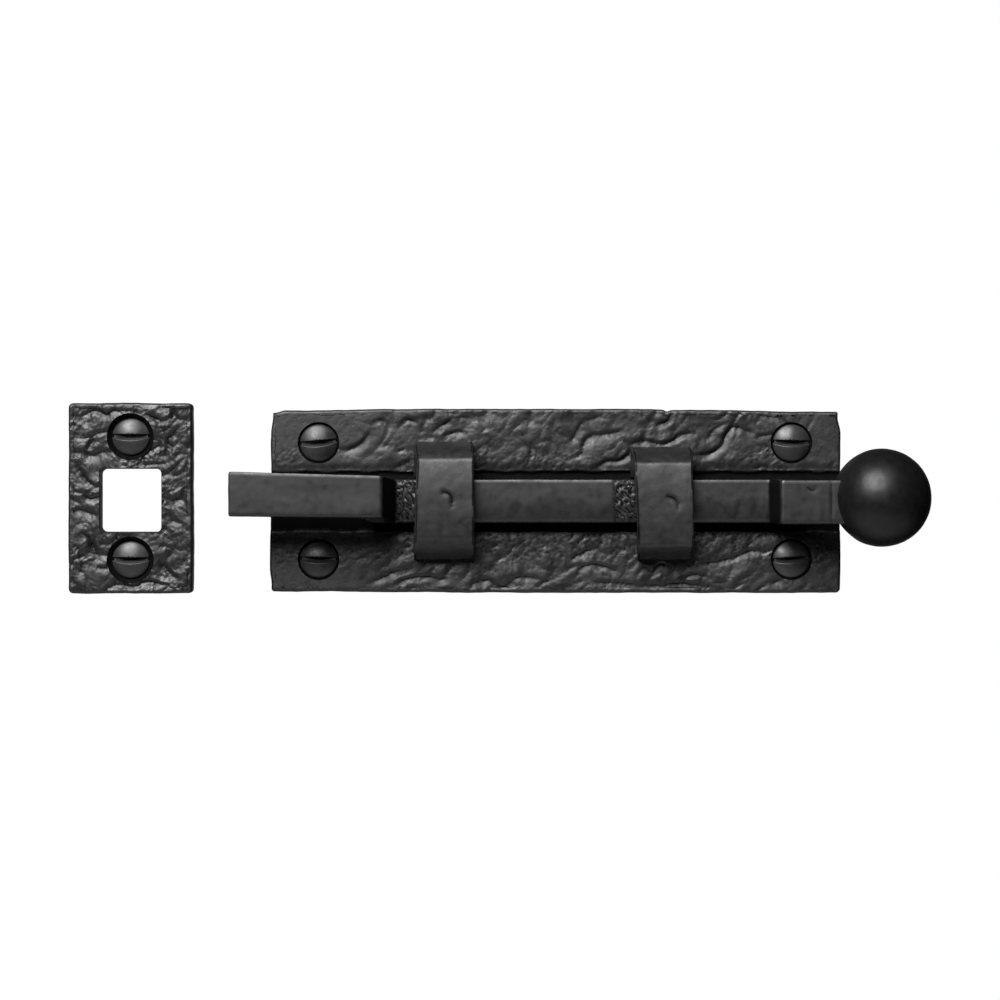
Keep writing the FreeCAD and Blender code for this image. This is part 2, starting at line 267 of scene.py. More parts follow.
class NodeTree:
    """A material's nodes, with short calls to add and join them."""

    def __init__(self, name: str) -> None:
        """Makes an empty material that ends in a Principled shader."""
        self.material = bpy.data.materials.new(name)
        self.material.use_nodes = True
        self.tree = self.material.node_tree
        self.shader = self.tree.nodes["Principled BSDF"]
        self.place = self.tree.nodes.new("ShaderNodeTexCoord").outputs["Object"]

    def noise(self, lump: float, detail: float = 3.0, roughness: float = 0.5) -> bpy.types.NodeSocket:
        """Noise on the piece's own coordinates, with lumps of a size in millimetres."""
        node = self.tree.nodes.new("ShaderNodeTexNoise")
        node.inputs["Scale"].default_value = 1 / (lump * MM)
        node.inputs["Detail"].default_value = detail
        node.inputs["Roughness"].default_value = roughness
        self.tree.links.new(self.place, node.inputs["Vector"])
        return node.outputs["Fac"]

    def pits(self, lump: float) -> bpy.types.NodeSocket:
        """Distance to the nearest of many scattered pits, of a size in millimetres."""
        node = self.tree.nodes.new("ShaderNodeTexVoronoi")
        node.inputs["Scale"].default_value = 1 / (lump * MM)
        self.tree.links.new(self.place, node.inputs["Vector"])
        return node.outputs["Distance"]

    def wear_and_shade(self) -> bpy.types.NodeSocket:
        """The mesh's wear_and_shade attribute: rubbed above 0, painted shade below 0."""
        node = self.tree.nodes.new("ShaderNodeAttribute")
        node.attribute_name = "wear_and_shade"
        return node.outputs["Fac"]

    def ranged(
        self, value: bpy.types.NodeSocket, source: Flat, target: Flat
    ) -> bpy.types.NodeSocket:
        """Maps a value from one range to another and holds it there."""
        node = self.tree.nodes.new("ShaderNodeMapRange")
        for name, number in zip(("From Min", "From Max", "To Min", "To Max"), (*source, *target)):
            node.inputs[name].default_value = number
        self.tree.links.new(value, node.inputs["Value"])
        return node.outputs["Result"]

    def maths(
        self, operation: str, first: bpy.types.NodeSocket, second: bpy.types.NodeSocket | float
    ) -> bpy.types.NodeSocket:
        """One arithmetic step on two values."""
        node = self.tree.nodes.new("ShaderNodeMath")
        node.operation = operation
        self.tree.links.new(first, node.inputs[0])
        if isinstance(second, float):
            node.inputs[1].default_value = second
        else:
            self.tree.links.new(second, node.inputs[1])
        return node.outputs[0]

    def mixed(
        self,
        share: bpy.types.NodeSocket,
        first: bpy.types.NodeSocket | Sequence[float],
        second: Sequence[float],
    ) -> bpy.types.NodeSocket:
        """Colour that goes from the first to the second with the share."""
        node = self.tree.nodes.new("ShaderNodeMix")
        node.data_type = "RGBA"
        self.tree.links.new(share, node.inputs["Factor"])
        if isinstance(first, bpy.types.NodeSocket):
            self.tree.links.new(first, node.inputs["A"])
        else:
            node.inputs[6].default_value = (*first, 1)
        node.inputs[7].default_value = (*second, 1)
        return node.outputs[2]

    def bump(self, height: bpy.types.NodeSocket, depth: float) -> None:
        """Bump on the shader's normal, with a depth in millimetres."""
        node = self.tree.nodes.new("ShaderNodeBump")
        node.inputs["Distance"].default_value = depth * MM
        self.tree.links.new(height, node.inputs["Height"])
        self.tree.links.new(node.outputs["Normal"], self.shader.inputs["Normal"])

    def drive(self, name: str, value: bpy.types.NodeSocket) -> None:
        """Joins a value to one of the shader's inputs."""
        self.tree.links.new(value, self.shader.inputs[name])


@dataclass(frozen=True)
class BlackPaint:
    """Black paint on a casting, rubbed where it stands out, sandy where the casting is, and with painted shade in
    its hollows.
    """

    name: str
    base: tuple[float, float, float]
    rubbed: tuple[float, float, float]
    roughness: float
    spread: float = 0.10
    grain: float = 0.30
    grain_depth: float = 0.025
    pit: float = 0.9
    chips: float = 0.78
    specular: float = 0.5

    def material(self) -> bpy.types.Material:
        """Builds the material."""
        tree = NodeTree(self.name)
        marks = tree.wear_and_shade()
        wear_and_shade = tree.ranged(marks, (0.0, 1.0), (0.0, 1.0))
        # Painted shade: how deeply a point sits in a hollow or recess.
        hollow = tree.ranged(marks, (-0.04, -0.55), (0.0, 1.0))
        clouds = tree.noise(5.0, 4.0)
        speckle = tree.noise(0.5, 5.0, 0.65)
        rub = tree.maths("MULTIPLY", wear_and_shade, tree.ranged(speckle, (0.35, 0.65), (0.35, 1.0)))
        shade = tree.maths("ADD", rub, tree.ranged(clouds, (0.4, 0.75), (0.0, 0.35)))
        paint = tree.mixed(tree.ranged(shade, (0.0, 1.2), (0.0, 1.0)), self.base, self.rubbed)
        primer = tree.maths("MULTIPLY", wear_and_shade, tree.noise(0.8, 3.0))
        chipped = tree.ranged(primer, (self.chips * 0.62, self.chips * 0.70), (0.0, 1.0))
        chipped_paint = tree.mixed(chipped, paint, (0.045, 0.026, 0.018))
        # Painted shade: hollows and recesses take a near-black colour.
        tree.drive("Base Color", tree.mixed(hollow, chipped_paint, (0.003, 0.003, 0.003)))
        rough = tree.ranged(tree.noise(1.6, 5.0), (0.3, 0.7), (self.roughness - self.spread, self.roughness + self.spread))
        tree.drive("Roughness", tree.maths("SUBTRACT", rough, tree.ranged(wear_and_shade, (0.0, 1.0), (0.0, 0.08))))
        sand = tree.ranged(tree.pits(self.pit), (0.0, 0.35), (-0.5, 0.0))
        height = tree.maths("ADD", tree.noise(self.grain, 4.0, 0.6), sand)
        tree.bump(height, self.grain_depth)
        # Painted shade: hollows and recesses lose most of their specular.
        tree.drive("Specular IOR Level", tree.ranged(hollow, (0.0, 1.0), (self.specular, 0.04)))
        return tree.material


@dataclass(frozen=True)
class SpringSteel:
    """Bare oiled steel with fine marks."""

    name: str = "oiled_spring_steel"

    def material(self) -> bpy.types.Material:
        """Builds the material."""
        tree = NodeTree(self.name)
        marks = tree.noise(0.4, 6.0, 0.7)
        tree.drive("Base Color", tree.mixed(marks, (0.22, 0.22, 0.23), (0.42, 0.42, 0.43)))
        tree.drive("Roughness", tree.ranged(marks, (0.3, 0.7), (0.25, 0.45)))
        tree.bump(marks, 0.01)
        tree.shader.inputs["Metallic"].default_value = 1.0
        return tree.material


class Finish(Enum):
    """The object's finishes."""

    PLATE = BlackPaint("plate_paint", (0.006, 0.006, 0.006), (0.014, 0.014, 0.014), 0.50)
    STAPLE = BlackPaint(
        "staple_paint", (0.005, 0.005, 0.005), (0.012, 0.012, 0.012), 0.52, chips=0.95, pit=1.6, grain_depth=0.012
    )
    BAR = BlackPaint(
        "bar_paint", (0.005, 0.005, 0.005), (0.012, 0.012, 0.012), 0.52, chips=1.2, pit=1.4, grain_depth=0.008
    )
    KNOB = BlackPaint(
        "knob_paint", (0.004, 0.004, 0.004), (0.007, 0.007, 0.007), 0.42,
        spread=0.07, specular=0.28, chips=1.3, pit=2.5, grain_depth=0.006,
    )
    KEEP = BlackPaint("keep_paint", (0.005, 0.005, 0.005), (0.014, 0.014, 0.014), 0.46)
    SCREW = BlackPaint(
        "screw_japan", (0.010, 0.010, 0.010), (0.060, 0.058, 0.058), 0.42, chips=1.3, pit=0.8, grain_depth=0.006
    )
    SPRING = SpringSteel()


# ---------------------------------------------------------------- hammered plates


@dataclass(frozen=True)
class Crease:
    """A valley left by the hammer, along a few points in the plane of the plate."""

    points: tuple[Flat, ...]
    depth: float = 0.22
    width: float = 0.42


class CreaseField:
    """Many creases, read as one height that is added to a plate's face."""

    STEP = 0.15

    def __init__(self, creases: Sequence[Crease]) -> None:
        """Samples every crease into a search tree."""
        self.samples: list[tuple[float, float]] = []
        lines = [(crease, smooth_line(crease.points, self.STEP)) for crease in creases]
        self.tree = kdtree.KDTree(sum(len(line) for _, line in lines))
        for crease, line in lines:
            for number, point in enumerate(line):
                fade = math.sin(math.pi * (number + 2) / (len(line) + 3)) ** 0.6
                self.tree.insert(point, len(self.samples))
                self.samples.append((crease.depth * fade, crease.width))
        self.tree.balance()

    def height_at(self, x: float, z: float) -> float:
        """Height of the creases at a place: steep on the upper side and gentle on the lower."""
        nearest, index, distance = self.tree.find((x, z, 0))
        depth, width = self.samples[index]
        upper = math.tanh(((z - nearest.y) * 0.87 - (x - nearest.x) * 0.5) / width)
        width *= 1.35 - 0.5 * upper + 0.4 * wave(x, 7, z, 1.9, 2.5)
        depth *= 1.2 + 0.7 * wave(x, 8, z, 2.6, 4.5)
        return -depth * math.exp(-((distance / width) ** 2))


@dataclass
class HammeredPlate:
    """A flat casting with a hammered face, countersunk for its screws."""

    node: str
    body: str
    slot: str
    finish: Finish
    screws: tuple[str, ...]
    creases: tuple[Crease, ...]
    seat_depth: float
    countersink: float
    hammer: float = 1.2
    seed: float = 3.0
    cell: float = 0.22
    corner: float = 0.5
    rim: float = 0.42
    head_radius: float = 3.3
    bore: float = 2.1
    ring_steps: int = 7
    ring_room: float = 0.9

    def __post_init__(self) -> None:
        """Reads the plate's place and size from the frame."""
        low, high = mm_box(self.node)
        self.x = (low.x + high.x) / 2
        self.z = (low.z + high.z) / 2
        self.half_x = (high.x - low.x) / 2
        self.half_z = (high.z - low.z) / 2
        self.thickness = -low.y
        self.field = CreaseField(self.creases)
        self.middles: list[Flat] = []
        for screw in self.screws:
            low, high = mm_box(screw)
            self.middles.append(((low.x + high.x) / 2, (low.z + high.z) / 2))

    def outward(self, x: float, z: float) -> Vector:
        """Direction away from the plate at a place on its border."""
        inner_x = self.half_x - self.rim - self.corner
        inner_z = self.half_z - self.rim - self.corner
        across = math.copysign(max(0.0, abs(x - self.x) - inner_x), x - self.x)
        up = math.copysign(max(0.0, abs(z - self.z) - inner_z), z - self.z)
        return Vector((across, 0, up)).normalized()

    def round_corner(self, place: Vector) -> None:
        """Pulls a point of the square grid into the plate's rounded corners."""
        inner_x = self.half_x - self.rim - self.corner
        inner_z = self.half_z - self.rim - self.corner
        u = (abs(place.x - self.x) - inner_x) / self.corner
        v = (abs(place.z - self.z) - inner_z) / self.corner
        if u > 0 and v > 0:
            across = self.corner * u * math.sqrt(1 - v * v / 2)
            up = self.corner * v * math.sqrt(1 - u * u / 2)
            place.x = self.x + math.copysign(inner_x + across, place.x - self.x)
            place.z = self.z + math.copysign(inner_z + up, place.z - self.z)

    def sand_at(self, x: float, z: float) -> float:
        """How sandy the casting is at a place, from 0 to 1."""
        return smooth_step(wave(x, 0, z, 9.0, 7.7), -0.15, 0.35)

    def calm_at(self, x: float, z: float) -> float:
        """How far the hammer marks fade at a place, from 0 for none to 1 for all."""
        return 0.0

    def relief(self, x: float, z: float) -> float:
        """Height of the hammered face over the plain one."""
        warp = noise.noise_vector(Vector((x * 0.17, self.seed, z * 0.17)))
        u = x + 1.5 * warp.x
        v = z + 1.5 * warp.z
        along = 0.82 * u + 0.57 * v
        across = 0.82 * v - 0.57 * u
        swell = wave(along / 1.4, 0, across, 4.6, self.seed)
        fold = math.exp(-((wave(along / 1.6, 3, across, 3.9, self.seed + 5) / 0.13) ** 2))
        fold *= smooth_step(wave(u, 9, v, 6.0, self.seed), -0.2, 0.3)
        crumple = abs(wave(along / 1.3, 5, across, 2.1, self.seed)) - 0.22
        fine = abs(wave(u, 2, v, 0.85, self.seed)) - 0.22
        strength = self.hammer * (1 - self.calm_at(x, z))
        sand = self.sand_at(x, z)
        marks = strength * (0.20 * swell - 0.14 * fold + 0.20 * crumple + 0.08 * fine)
        grain = (0.010 + 0.07 * sand) * (wave(x, 4, z, 0.5, 1.3) + 0.6 * wave(x, 4, z, 0.95, 1.3))
        creases = self.field.height_at(x + 0.35 * warp.z, z + 0.35 * warp.x)
        return marks + grain + creases - 0.05

    def height_at(self, x: float, z: float) -> float:
        """Height of the plate's face."""
        return self.thickness + self.relief(x, z)

    def ring_out(
        self, mesh: Mesh, middle: Flat, half: Flat, outline: Callable[[float, float], Flat]
    ) -> Edges:
        """Opens a block in the flat grid and closes it in to a hole's rim by rings.

        Args:
            mesh: The flat grid.
            middle: Middle of the hole in the plane of the plate.
            half: Half sizes of the block that is opened.
            outline: Gives a rim point, measured from the middle, for a place on the border of a
                square that reaches from -1 to 1.

        Returns:
            The hole's rim.
        """
        def inside(place: Vector, margin: float) -> bool:
            return abs(place.x - middle[0]) < half[0] + margin and abs(place.z - middle[1]) < half[1] + margin

        faces = [face for face in mesh.faces if inside(face.calc_center_median(), 0)]
        bmesh.ops.delete(mesh, geom=faces, context="FACES")
        loop = open_edges(mesh, lambda place: inside(place, self.cell))
        corners = {vert.co.copy().freeze() for edge in loop for vert in edge.verts}
        left, right = min(spot.x for spot in corners), max(spot.x for spot in corners)
        low, high = min(spot.z for spot in corners), max(spot.z for spot in corners)
        rim = {}
        for spot in corners:
            u = (2 * spot.x - left - right) / (right - left)
            v = (2 * spot.z - low - high) / (high - low)
            a, b = outline(u, v)
            rim[spot] = Vector((middle[0] + a, spot.y, middle[1] + b))
        tree = kdtree.KDTree(len(rim))
        borders = list(rim)
        for number, border in enumerate(borders):
            tree.insert(border, number)
        tree.balance()
        for step in range(1, self.ring_steps + 1):
            share = step / self.ring_steps
            before = (step - 1) / self.ring_steps

            def inward(place: Vector) -> Vector:
                number = self.nearest_border(place, borders, rim, before)
                return borders[number].lerp(rim[borders[number]], share)

            loop = extend(mesh, loop, inward)
        return loop

    @staticmethod
    def nearest_border(
        place: Vector, borders: list[Vector], rim: dict[Vector, Vector], share: float
    ) -> int:
        """Number of the border point whose line to the rim holds a place."""
        gaps = ((borders[n].lerp(rim[borders[n]], share) - place).length_squared for n in range(len(borders)))
        return min(enumerate(gaps), key=lambda pair: pair[1])[0]

    def circle_outline(self, u: float, v: float) -> Flat:
        """Point of a countersink's rim for a place on the border of a square."""
        across, up = u * math.sqrt(1 - v * v / 2), v * math.sqrt(1 - u * u / 2)
        return (self.countersink * across, self.countersink * up)

    def circle(self, middle: Flat, radius: float) -> Callable[[Vector], Vector]:
        """Move that brings a point to a circle about a hole's axis, at the point's own height."""
        def shrink(place: Vector) -> Vector:
            ray = Vector((place.x - middle[0], 0, place.z - middle[1])).normalized() * radius
            return Vector((middle[0] + ray.x, place.y, middle[1] + ray.z))

        return shrink

    def sink(self, mesh: Mesh, loop: Edges, middle: Flat) -> None:
        """Cuts a countersink and a bore down from a hole's rim.

        Args:
            mesh: The plate.
            loop: The hole's rim on the hammered face.
            middle: The screw's axis.
        """
        seat_height = self.thickness - self.seat_depth
        steps = [
            (self.countersink - 0.08, self.thickness - 0.22),
            (self.head_radius + 0.18, seat_height - 0.30),
            (self.head_radius - 0.60, seat_height - 0.62),
            (self.bore, seat_height - self.head_radius + self.bore),
            (self.bore, 0.0),
        ]
        for radius, height in steps:
            def down(place: Vector) -> Vector:
                spot = self.circle(middle, radius)(place)
                return out(spot.x, height, spot.z)

            loop = extend(mesh, loop, down)

    def in_recess(self, place: Vector) -> float:
        """How deeply a point lies in a screw's countersink, which is given painted shade."""
        depth = self.thickness + place.y
        gaps = [math.hypot(place.x - x, place.z - z) - self.countersink for x, z in self.middles]
        return smooth_step(-min(gaps), -0.02, 0.06) * smooth_step(depth, 0.02, 0.14)

    def edge_wobble(self, x: float, z: float) -> float:
        """How far the plate's ground edge wanders inwards at a place."""
        return 0.10 * wave(x, 0, z, 6.0, 2.2) + 0.05 * wave(x, 0, z, 1.8, 4.1) - 0.12

    def drop_border(self, mesh: Mesh, loop: Edges) -> None:
        """Rounds the plate's outer border over and takes it down to the door's face."""
        for reach, share in ((0.35, 0.10), (0.75, 0.42), (1.0, 1.0)):
            before = 0.0 if reach == 0.35 else 0.35 if reach == 0.75 else 0.75

            def over(place: Vector) -> Vector:
                step = self.outward(place.x, place.z) * self.rim * (reach - before)
                drop = self.rim * share * 1.3
                height = max(0.6, self.height_at(place.x, place.z) - drop)
                return out(place.x + step.x, height, place.z + step.z)

            loop = extend(mesh, loop, over)
        loop = extend(mesh, loop, lambda place: out(place.x, 0.25, place.z))

        def tuck(place: Vector) -> Vector:
            step = self.outward(place.x, place.z) * 0.15
            return out(place.x - step.x, 0.0, place.z - step.z)

        extend(mesh, loop, tuck)

    def more_holes(self, mesh: Mesh) -> list[tuple[Edges, Callable[[Mesh, Edges], None]]]:
        """Rims of the holes other than the screws', each with what cuts it down."""
        return []

    def more_back(self, mesh: Mesh) -> None:
        """Adds loops to the back face before it is closed."""

    def in_back_hole(self, place: Vector) -> bool:
        """Whether a place on the back face is inside a hole."""
        return any(math.hypot(place.x - x, place.z - z) < self.bore for x, z in self.middles)

    def build(self) -> bpy.types.Object:
        """Builds the plate from a grid of small cells and places it."""
        mesh = bmesh.new()
        size = Vector((2 * (self.half_x - self.rim), 2 * (self.half_z - self.rim), 1))
        columns = round(size.x / self.cell)
        rows = round(size.y / self.cell)
        bmesh.ops.create_grid(mesh, x_segments=columns, y_segments=rows, size=0.5)
        bmesh.ops.scale(mesh, vec=size, verts=mesh.verts)
        bmesh.ops.rotate(mesh, cent=Vector(), matrix=face_the_viewer(), verts=mesh.verts)
        bmesh.ops.translate(mesh, vec=out(self.x, 0, self.z), verts=mesh.verts)
        border = open_edges(mesh, lambda place: True)
        for vert in mesh.verts:
            self.round_corner(vert.co)
        reach = math.ceil((self.countersink + self.ring_room) / self.cell) * self.cell
        holes = []
        for middle in self.middles:
            rim = self.ring_out(mesh, middle, (reach, reach), self.circle_outline)
            holes.append((rim, middle))
        extra = self.more_holes(mesh)
        for vert in mesh.verts:
            vert.co.y = -self.height_at(vert.co.x, vert.co.z)
        self.drop_border(mesh, border)
        for rim, middle in holes:
            self.sink(mesh, rim, middle)
        for rim, cut in extra:
            cut(mesh, rim)
        self.more_back(mesh)
        back = open_edges(mesh, lambda place: abs(place.y) < 1e-6)
        filled = bmesh.ops.triangle_fill(mesh, use_beauty=True, edges=back, normal=Vector((0, 1, 0)))["geom"]
        faces = [item for item in filled if isinstance(item, bmesh.types.BMFace)]
        holes_shut = [face for face in faces if self.in_back_hole(face.calc_center_median())]
        bmesh.ops.delete(mesh, geom=holes_shut, context="FACES_ONLY")
        for vert in mesh.verts:
            push = self.outward(vert.co.x, vert.co.z) * self.edge_wobble(vert.co.x, vert.co.z)
            vert.co += Vector((push.x, 0, push.z))
        bmesh.ops.recalc_face_normals(mesh, faces=mesh.faces)
        # The countersinks, and the backplate's channel, get painted shade through in_recess.
        mark_wear_and_shade(mesh, 0.30, self.in_recess)
        name = self.node.removesuffix("_plate") + "_casting"
        return place(mesh, name, self.body, self.slot, [self.node], self.finish.value.material())


@dataclass
class Backplate(HammeredPlate):
    """The long plate, with the channel that the bolt runs in and the staples' peened tenons."""

    channel_half: float = 5.25
    channel_depth: float = 1.0
    wall: float = 0.5
    peen_radius: float = 2.4
    peen_depth: float = 0.7
    tenon_z: float = 7.65

    def calm_at(self, x: float, z: float) -> float:
        """The knob's and the nose's ends are smoother than the middle."""
        nose_end = 1 - smooth_step(x, -40.0, -24.0)
        knob_end = smooth_step(x, 38.0, 46.0)
        return min(0.85, 0.85 * nose_end + 0.6 * knob_end)

    def sand_at(self, x: float, z: float) -> float:
        """Sandy along the channel's lower side and about the staples' feet."""
        near = 1 - smooth_step(abs(abs(z) - 6.5), 1.0, 4.0)
        low = smooth_step(-z, 4.0, 6.0) * (1 - smooth_step(-z, 9.5, 13.0))
        patch = smooth_step(wave(x, 0, z, 6.0, 7.7), -0.3, 0.3)
        return min(1.0, near * patch + 0.8 * low)

    def height_at(self, x: float, z: float) -> float:
        """Height of the face, with the channel sunk into it."""
        edge = self.channel_half + 0.22 * wave(x, 0, math.copysign(9, z), 3.4, 6.0)
        depth = 1 - smooth_step(abs(z), edge - self.wall / 2, edge + self.wall / 2)
        lip = 0.22 * math.exp(-(((abs(z) - edge - 0.4) / 0.7) ** 2))
        floor = self.thickness - self.channel_depth + 0.02 * wave(x, 1, z, 0.6, 2.0) - 0.03
        face = super().height_at(x, z) - lip
        return face * (1 - depth) + floor * depth

    def in_recess(self, place: Vector) -> float:
        """How deeply a point lies in the channel or in a screw's countersink, which are given painted shade."""
        channel = smooth_step(self.channel_half - abs(place.z), -0.5, 0.1)
        channel *= smooth_step(self.thickness + place.y, 0.3, 0.8)
        # Painted shade: the channel gets 0.6 of the countersinks' darkening.
        return max(0.6 * channel, super().in_recess(place))

    def edge_wobble(self, x: float, z: float) -> float:
        """A ground edge that wanders, leans at the left end and has a nick on top."""
        left = smooth_step(-x, self.half_x - 3, self.half_x - 1)
        lean = (0.18 + 0.18 * z / self.half_z) * left
        top = smooth_step(z, 12.0, 15.0)
        taper = 0.55 * smooth_step(x, 5.0, 55.0) + 0.28 * smooth_step(-x, 22.0, 50.0)
        nick = 0.30 * math.exp(-(((x - 19.9) / 0.5) ** 2))
        below = smooth_step(-z, 12.0, 15.0) * (0.1 + 0.25 * smooth_step(-x, 5.0, 50.0))
        return super().edge_wobble(x, z) + 0.08 - lean - top * (nick + taper) - below

    def in_back_hole(self, place: Vector) -> bool:
        """Whether a place on the back face is inside a bore or a peen's cone."""
        peens = ((x, z) for x in self.peen_x for z in (-self.tenon_z, self.tenon_z))
        near = any(math.hypot(place.x - x, place.z - z) < self.peen_radius for x, z in peens)
        return near or super().in_back_hole(place)

    def more_back(self, mesh: Mesh) -> None:
        """Sinks a cone behind the plate for each peened tenon."""
        self.peen_x = []
        for staple in ("front_staple", "rear_staple"):
            low, high = mm_box(staple)
            self.peen_x.append((low.x + high.x) / 2)
            for z in (-self.tenon_z, self.tenon_z):
                middle = ((low.x + high.x) / 2, z)
                turned = Matrix.Translation(out(middle[0], 0, z)) @ face_the_viewer().to_4x4()
                made = bmesh.ops.create_circle(mesh, segments=64, radius=self.peen_radius, matrix=turned)
                rim = list({edge for vert in made["verts"] for edge in vert.link_edges})

                def deeper(place: Vector) -> Vector:
                    spot = self.circle(middle, self.peen_radius - 0.8)(place)
                    return out(spot.x, self.peen_depth, spot.z)

                bmesh.ops.edgeloop_fill(mesh, edges=extend(mesh, rim, deeper))


@dataclass
class Keep(HammeredPlate):
    """The keep, with the rounded mouth that takes the bolt's nose."""

    mouth_half: Flat = (5.35, 5.6)
    mouth_drop: float = 0.35
    flare: float = 0.2
    mouth_corner: float = 1.0

    def mouth_middle(self) -> Flat:
        """Middle of the mouth in the plane of the plate."""
        return (self.x, self.z - self.mouth_drop)

    def mouth_outline(self, u: float, v: float) -> Flat:
        """Point of the mouth's rim for a place on the border of a square."""
        half_x = self.mouth_half[0] + self.flare
        half_z = self.mouth_half[1] + self.flare
        a, b = u * half_x, v * half_z
        over_a = abs(a) - (half_x - self.mouth_corner)
        over_b = abs(b) - (half_z - self.mouth_corner)
        if over_a > 0 and over_b > 0:
            shrink = self.mouth_corner / math.hypot(over_a, over_b)
            a = math.copysign(half_x - self.mouth_corner + over_a * shrink, a)
            b = math.copysign(half_z - self.mouth_corner + over_b * shrink, b)
        return (a, b)

    def more_holes(self, mesh: Mesh) -> list[tuple[Edges, Callable[[Mesh, Edges], None]]]:
        """Opens the mouth."""
        columns = round(2 * (self.half_x - self.rim) / self.cell)
        rows = round(2 * (self.half_z - self.rim) / self.cell)
        step_x = 2 * (self.half_x - self.rim) / columns
        step_z = 2 * (self.half_z - self.rim) / rows
        reach_x = math.ceil((self.mouth_half[0] + self.flare) / step_x + 0.2) * step_x
        reach_z = math.ceil((self.mouth_half[1] + self.flare) / step_z + 0.2) * step_z
        rim = self.ring_out(mesh, self.mouth_middle(), (reach_x, reach_z), self.mouth_outline)
        return [(rim, self.cut_mouth)]

    def in_back_hole(self, place: Vector) -> bool:
        """Whether a place on the back face is inside a bore or the mouth."""
        middle = self.mouth_middle()
        across, up = abs(place.x - middle[0]), abs(place.z - middle[1])
        return (across < self.mouth_half[0] and up < self.mouth_half[1]) or super().in_back_hole(place)

    def cut_mouth(self, mesh: Mesh, rim: Edges) -> None:
        """Takes the mouth's wall from its rounded rim down to the frame."""
        middle = self.mouth_middle()
        for inset, height in ((0.08, 3.1), (0.14, 2.4), (0.2, 0.0)):
            share_x = (self.mouth_half[0] + self.flare - inset) / (self.mouth_half[0] + self.flare)
            share_z = (self.mouth_half[1] + self.flare - inset) / (self.mouth_half[1] + self.flare)
            last = 0.0 if inset == 0.08 else 0.08 if inset == 0.14 else 0.14
            before_x = (self.mouth_half[0] + self.flare - last) / (self.mouth_half[0] + self.flare)
            before_z = (self.mouth_half[1] + self.flare - last) / (self.mouth_half[1] + self.flare)

            def inward(place: Vector) -> Vector:
                x = middle[0] + (place.x - middle[0]) * share_x / before_x
                z = middle[1] + (place.z - middle[1]) * share_z / before_z
                return out(x, height, z)

            rim = extend(mesh, rim, inward)


BACKPLATE_CREASES = (
    Crease(((-38.8, 9.0), (-36.8, 9.1), (-34.7, 10.0), (-33.4, 11.2), (-32.7, 12.4)), 0.26, 0.45),
    Crease(((-32.4, 13.9), (-31.0, 14.4), (-29.6, 13.8)), 0.16, 0.35),
    Crease(((-27.6, 13.6), (-26.3, 14.5), (-24.7, 13.9)), 0.24, 0.38),
    Crease(((-30.7, 9.9), (-28.6, 9.3), (-26.6, 10.0)), 0.16, 0.5),
    Crease(((-21.5, 12.4), (-20.1, 13.4), (-18.1, 14.8)), 0.2, 0.35),
    Crease(((-19.5, 11.7), (-17.4, 12.4), (-16.1, 12.1)), 0.24, 0.3),
    Crease(((-28.3, 6.2), (-26.6, 6.6), (-25.2, 7.2)), 0.25, 0.5),
    Crease(((0.9, 10.0), (2.9, 10.8), (5.0, 14.1), (7.4, 14.8), (8.7, 15.3)), 0.2, 0.4),
    Crease(((3.6, 7.6), (4.8, 8.5), (5.3, 10.3), (6.5, 11.5), (9.8, 11.9), (11.8, 12.4)), 0.3, 0.45),
    Crease(((7.0, 5.8), (9.1, 6.8), (11.1, 6.9), (12.7, 7.9), (13.5, 9.1)), 0.3, 0.4),
    Crease(((18.3, 13.7), (20.0, 14.4), (20.6, 16.1)), 0.34, 0.3),
    Crease(((13.9, 10.3), (16.3, 10.6), (19.0, 10.2), (21.0, 10.9), (22.1, 11.9), (24.8, 12.0)), 0.28, 0.32),
    Crease(((24.8, 8.2), (27.5, 8.5), (29.6, 9.8), (30.6, 12.0), (32.1, 13.1), (34.7, 12.4)), 0.38, 0.42),
    Crease(((26.8, 11.0), (28.2, 12.6), (29.9, 13.4)), 0.16, 0.35),
    Crease(((36.7, 15.3), (39.1, 14.8), (41.7, 13.6)), 0.16, 0.4),
    Crease(((36.4, 11.4), (38.6, 11.9)), 0.18, 0.35),
    Crease(((2.9, -10.5), (4.3, -9.5), (5.7, -8.5), (7.0, -8.3)), 0.2, 0.4),
    Crease(((4.0, -13.4), (4.6, -12.0), (6.7, -11.3), (9.4, -11.9), (11.1, -12.6)), 0.26, 0.4),
    Crease(((7.7, -15.0), (11.1, -14.5), (15.2, -14.9), (18.6, -15.1), (22.7, -14.8), (29.2, -15.6)), 0.3, 0.5),
    Crease(((14.5, -13.1), (15.9, -11.9), (17.3, -12.7), (19.0, -11.2), (20.7, -11.9), (21.4, -12.9)), 0.24, 0.35),
    Crease(((25.5, -11.4), (28.9, -10.8), (31.6, -10.2), (33.7, -9.1), (37.4, -8.1)), 0.22, 0.4),
    Crease(((22.7, -13.9), (24.8, -13.2), (26.8, -13.6)), 0.2, 0.35),
    Crease(((38.6, -14.8), (40.2, -13.6)), 0.16, 0.35),
    Crease(((-33.0, -14.4), (-30.3, -13.4), (-28.3, -12.3), (-24.9, -11.7)), 0.22, 0.4),
    Crease(((-28.3, -14.9), (-26.3, -13.7), (-22.9, -13.4), (-19.5, -14.0)), 0.24, 0.4),
    Crease(((-15.4, -15.2), (-12.0, -14.0), (-9.3, -15.2), (-5.9, -13.7), (-1.1, -14.4)), 0.3, 0.45),
    Crease(((-22.9, -11.3), (-21.5, -10.7), (-19.5, -10.0)), 0.16, 0.35),
)

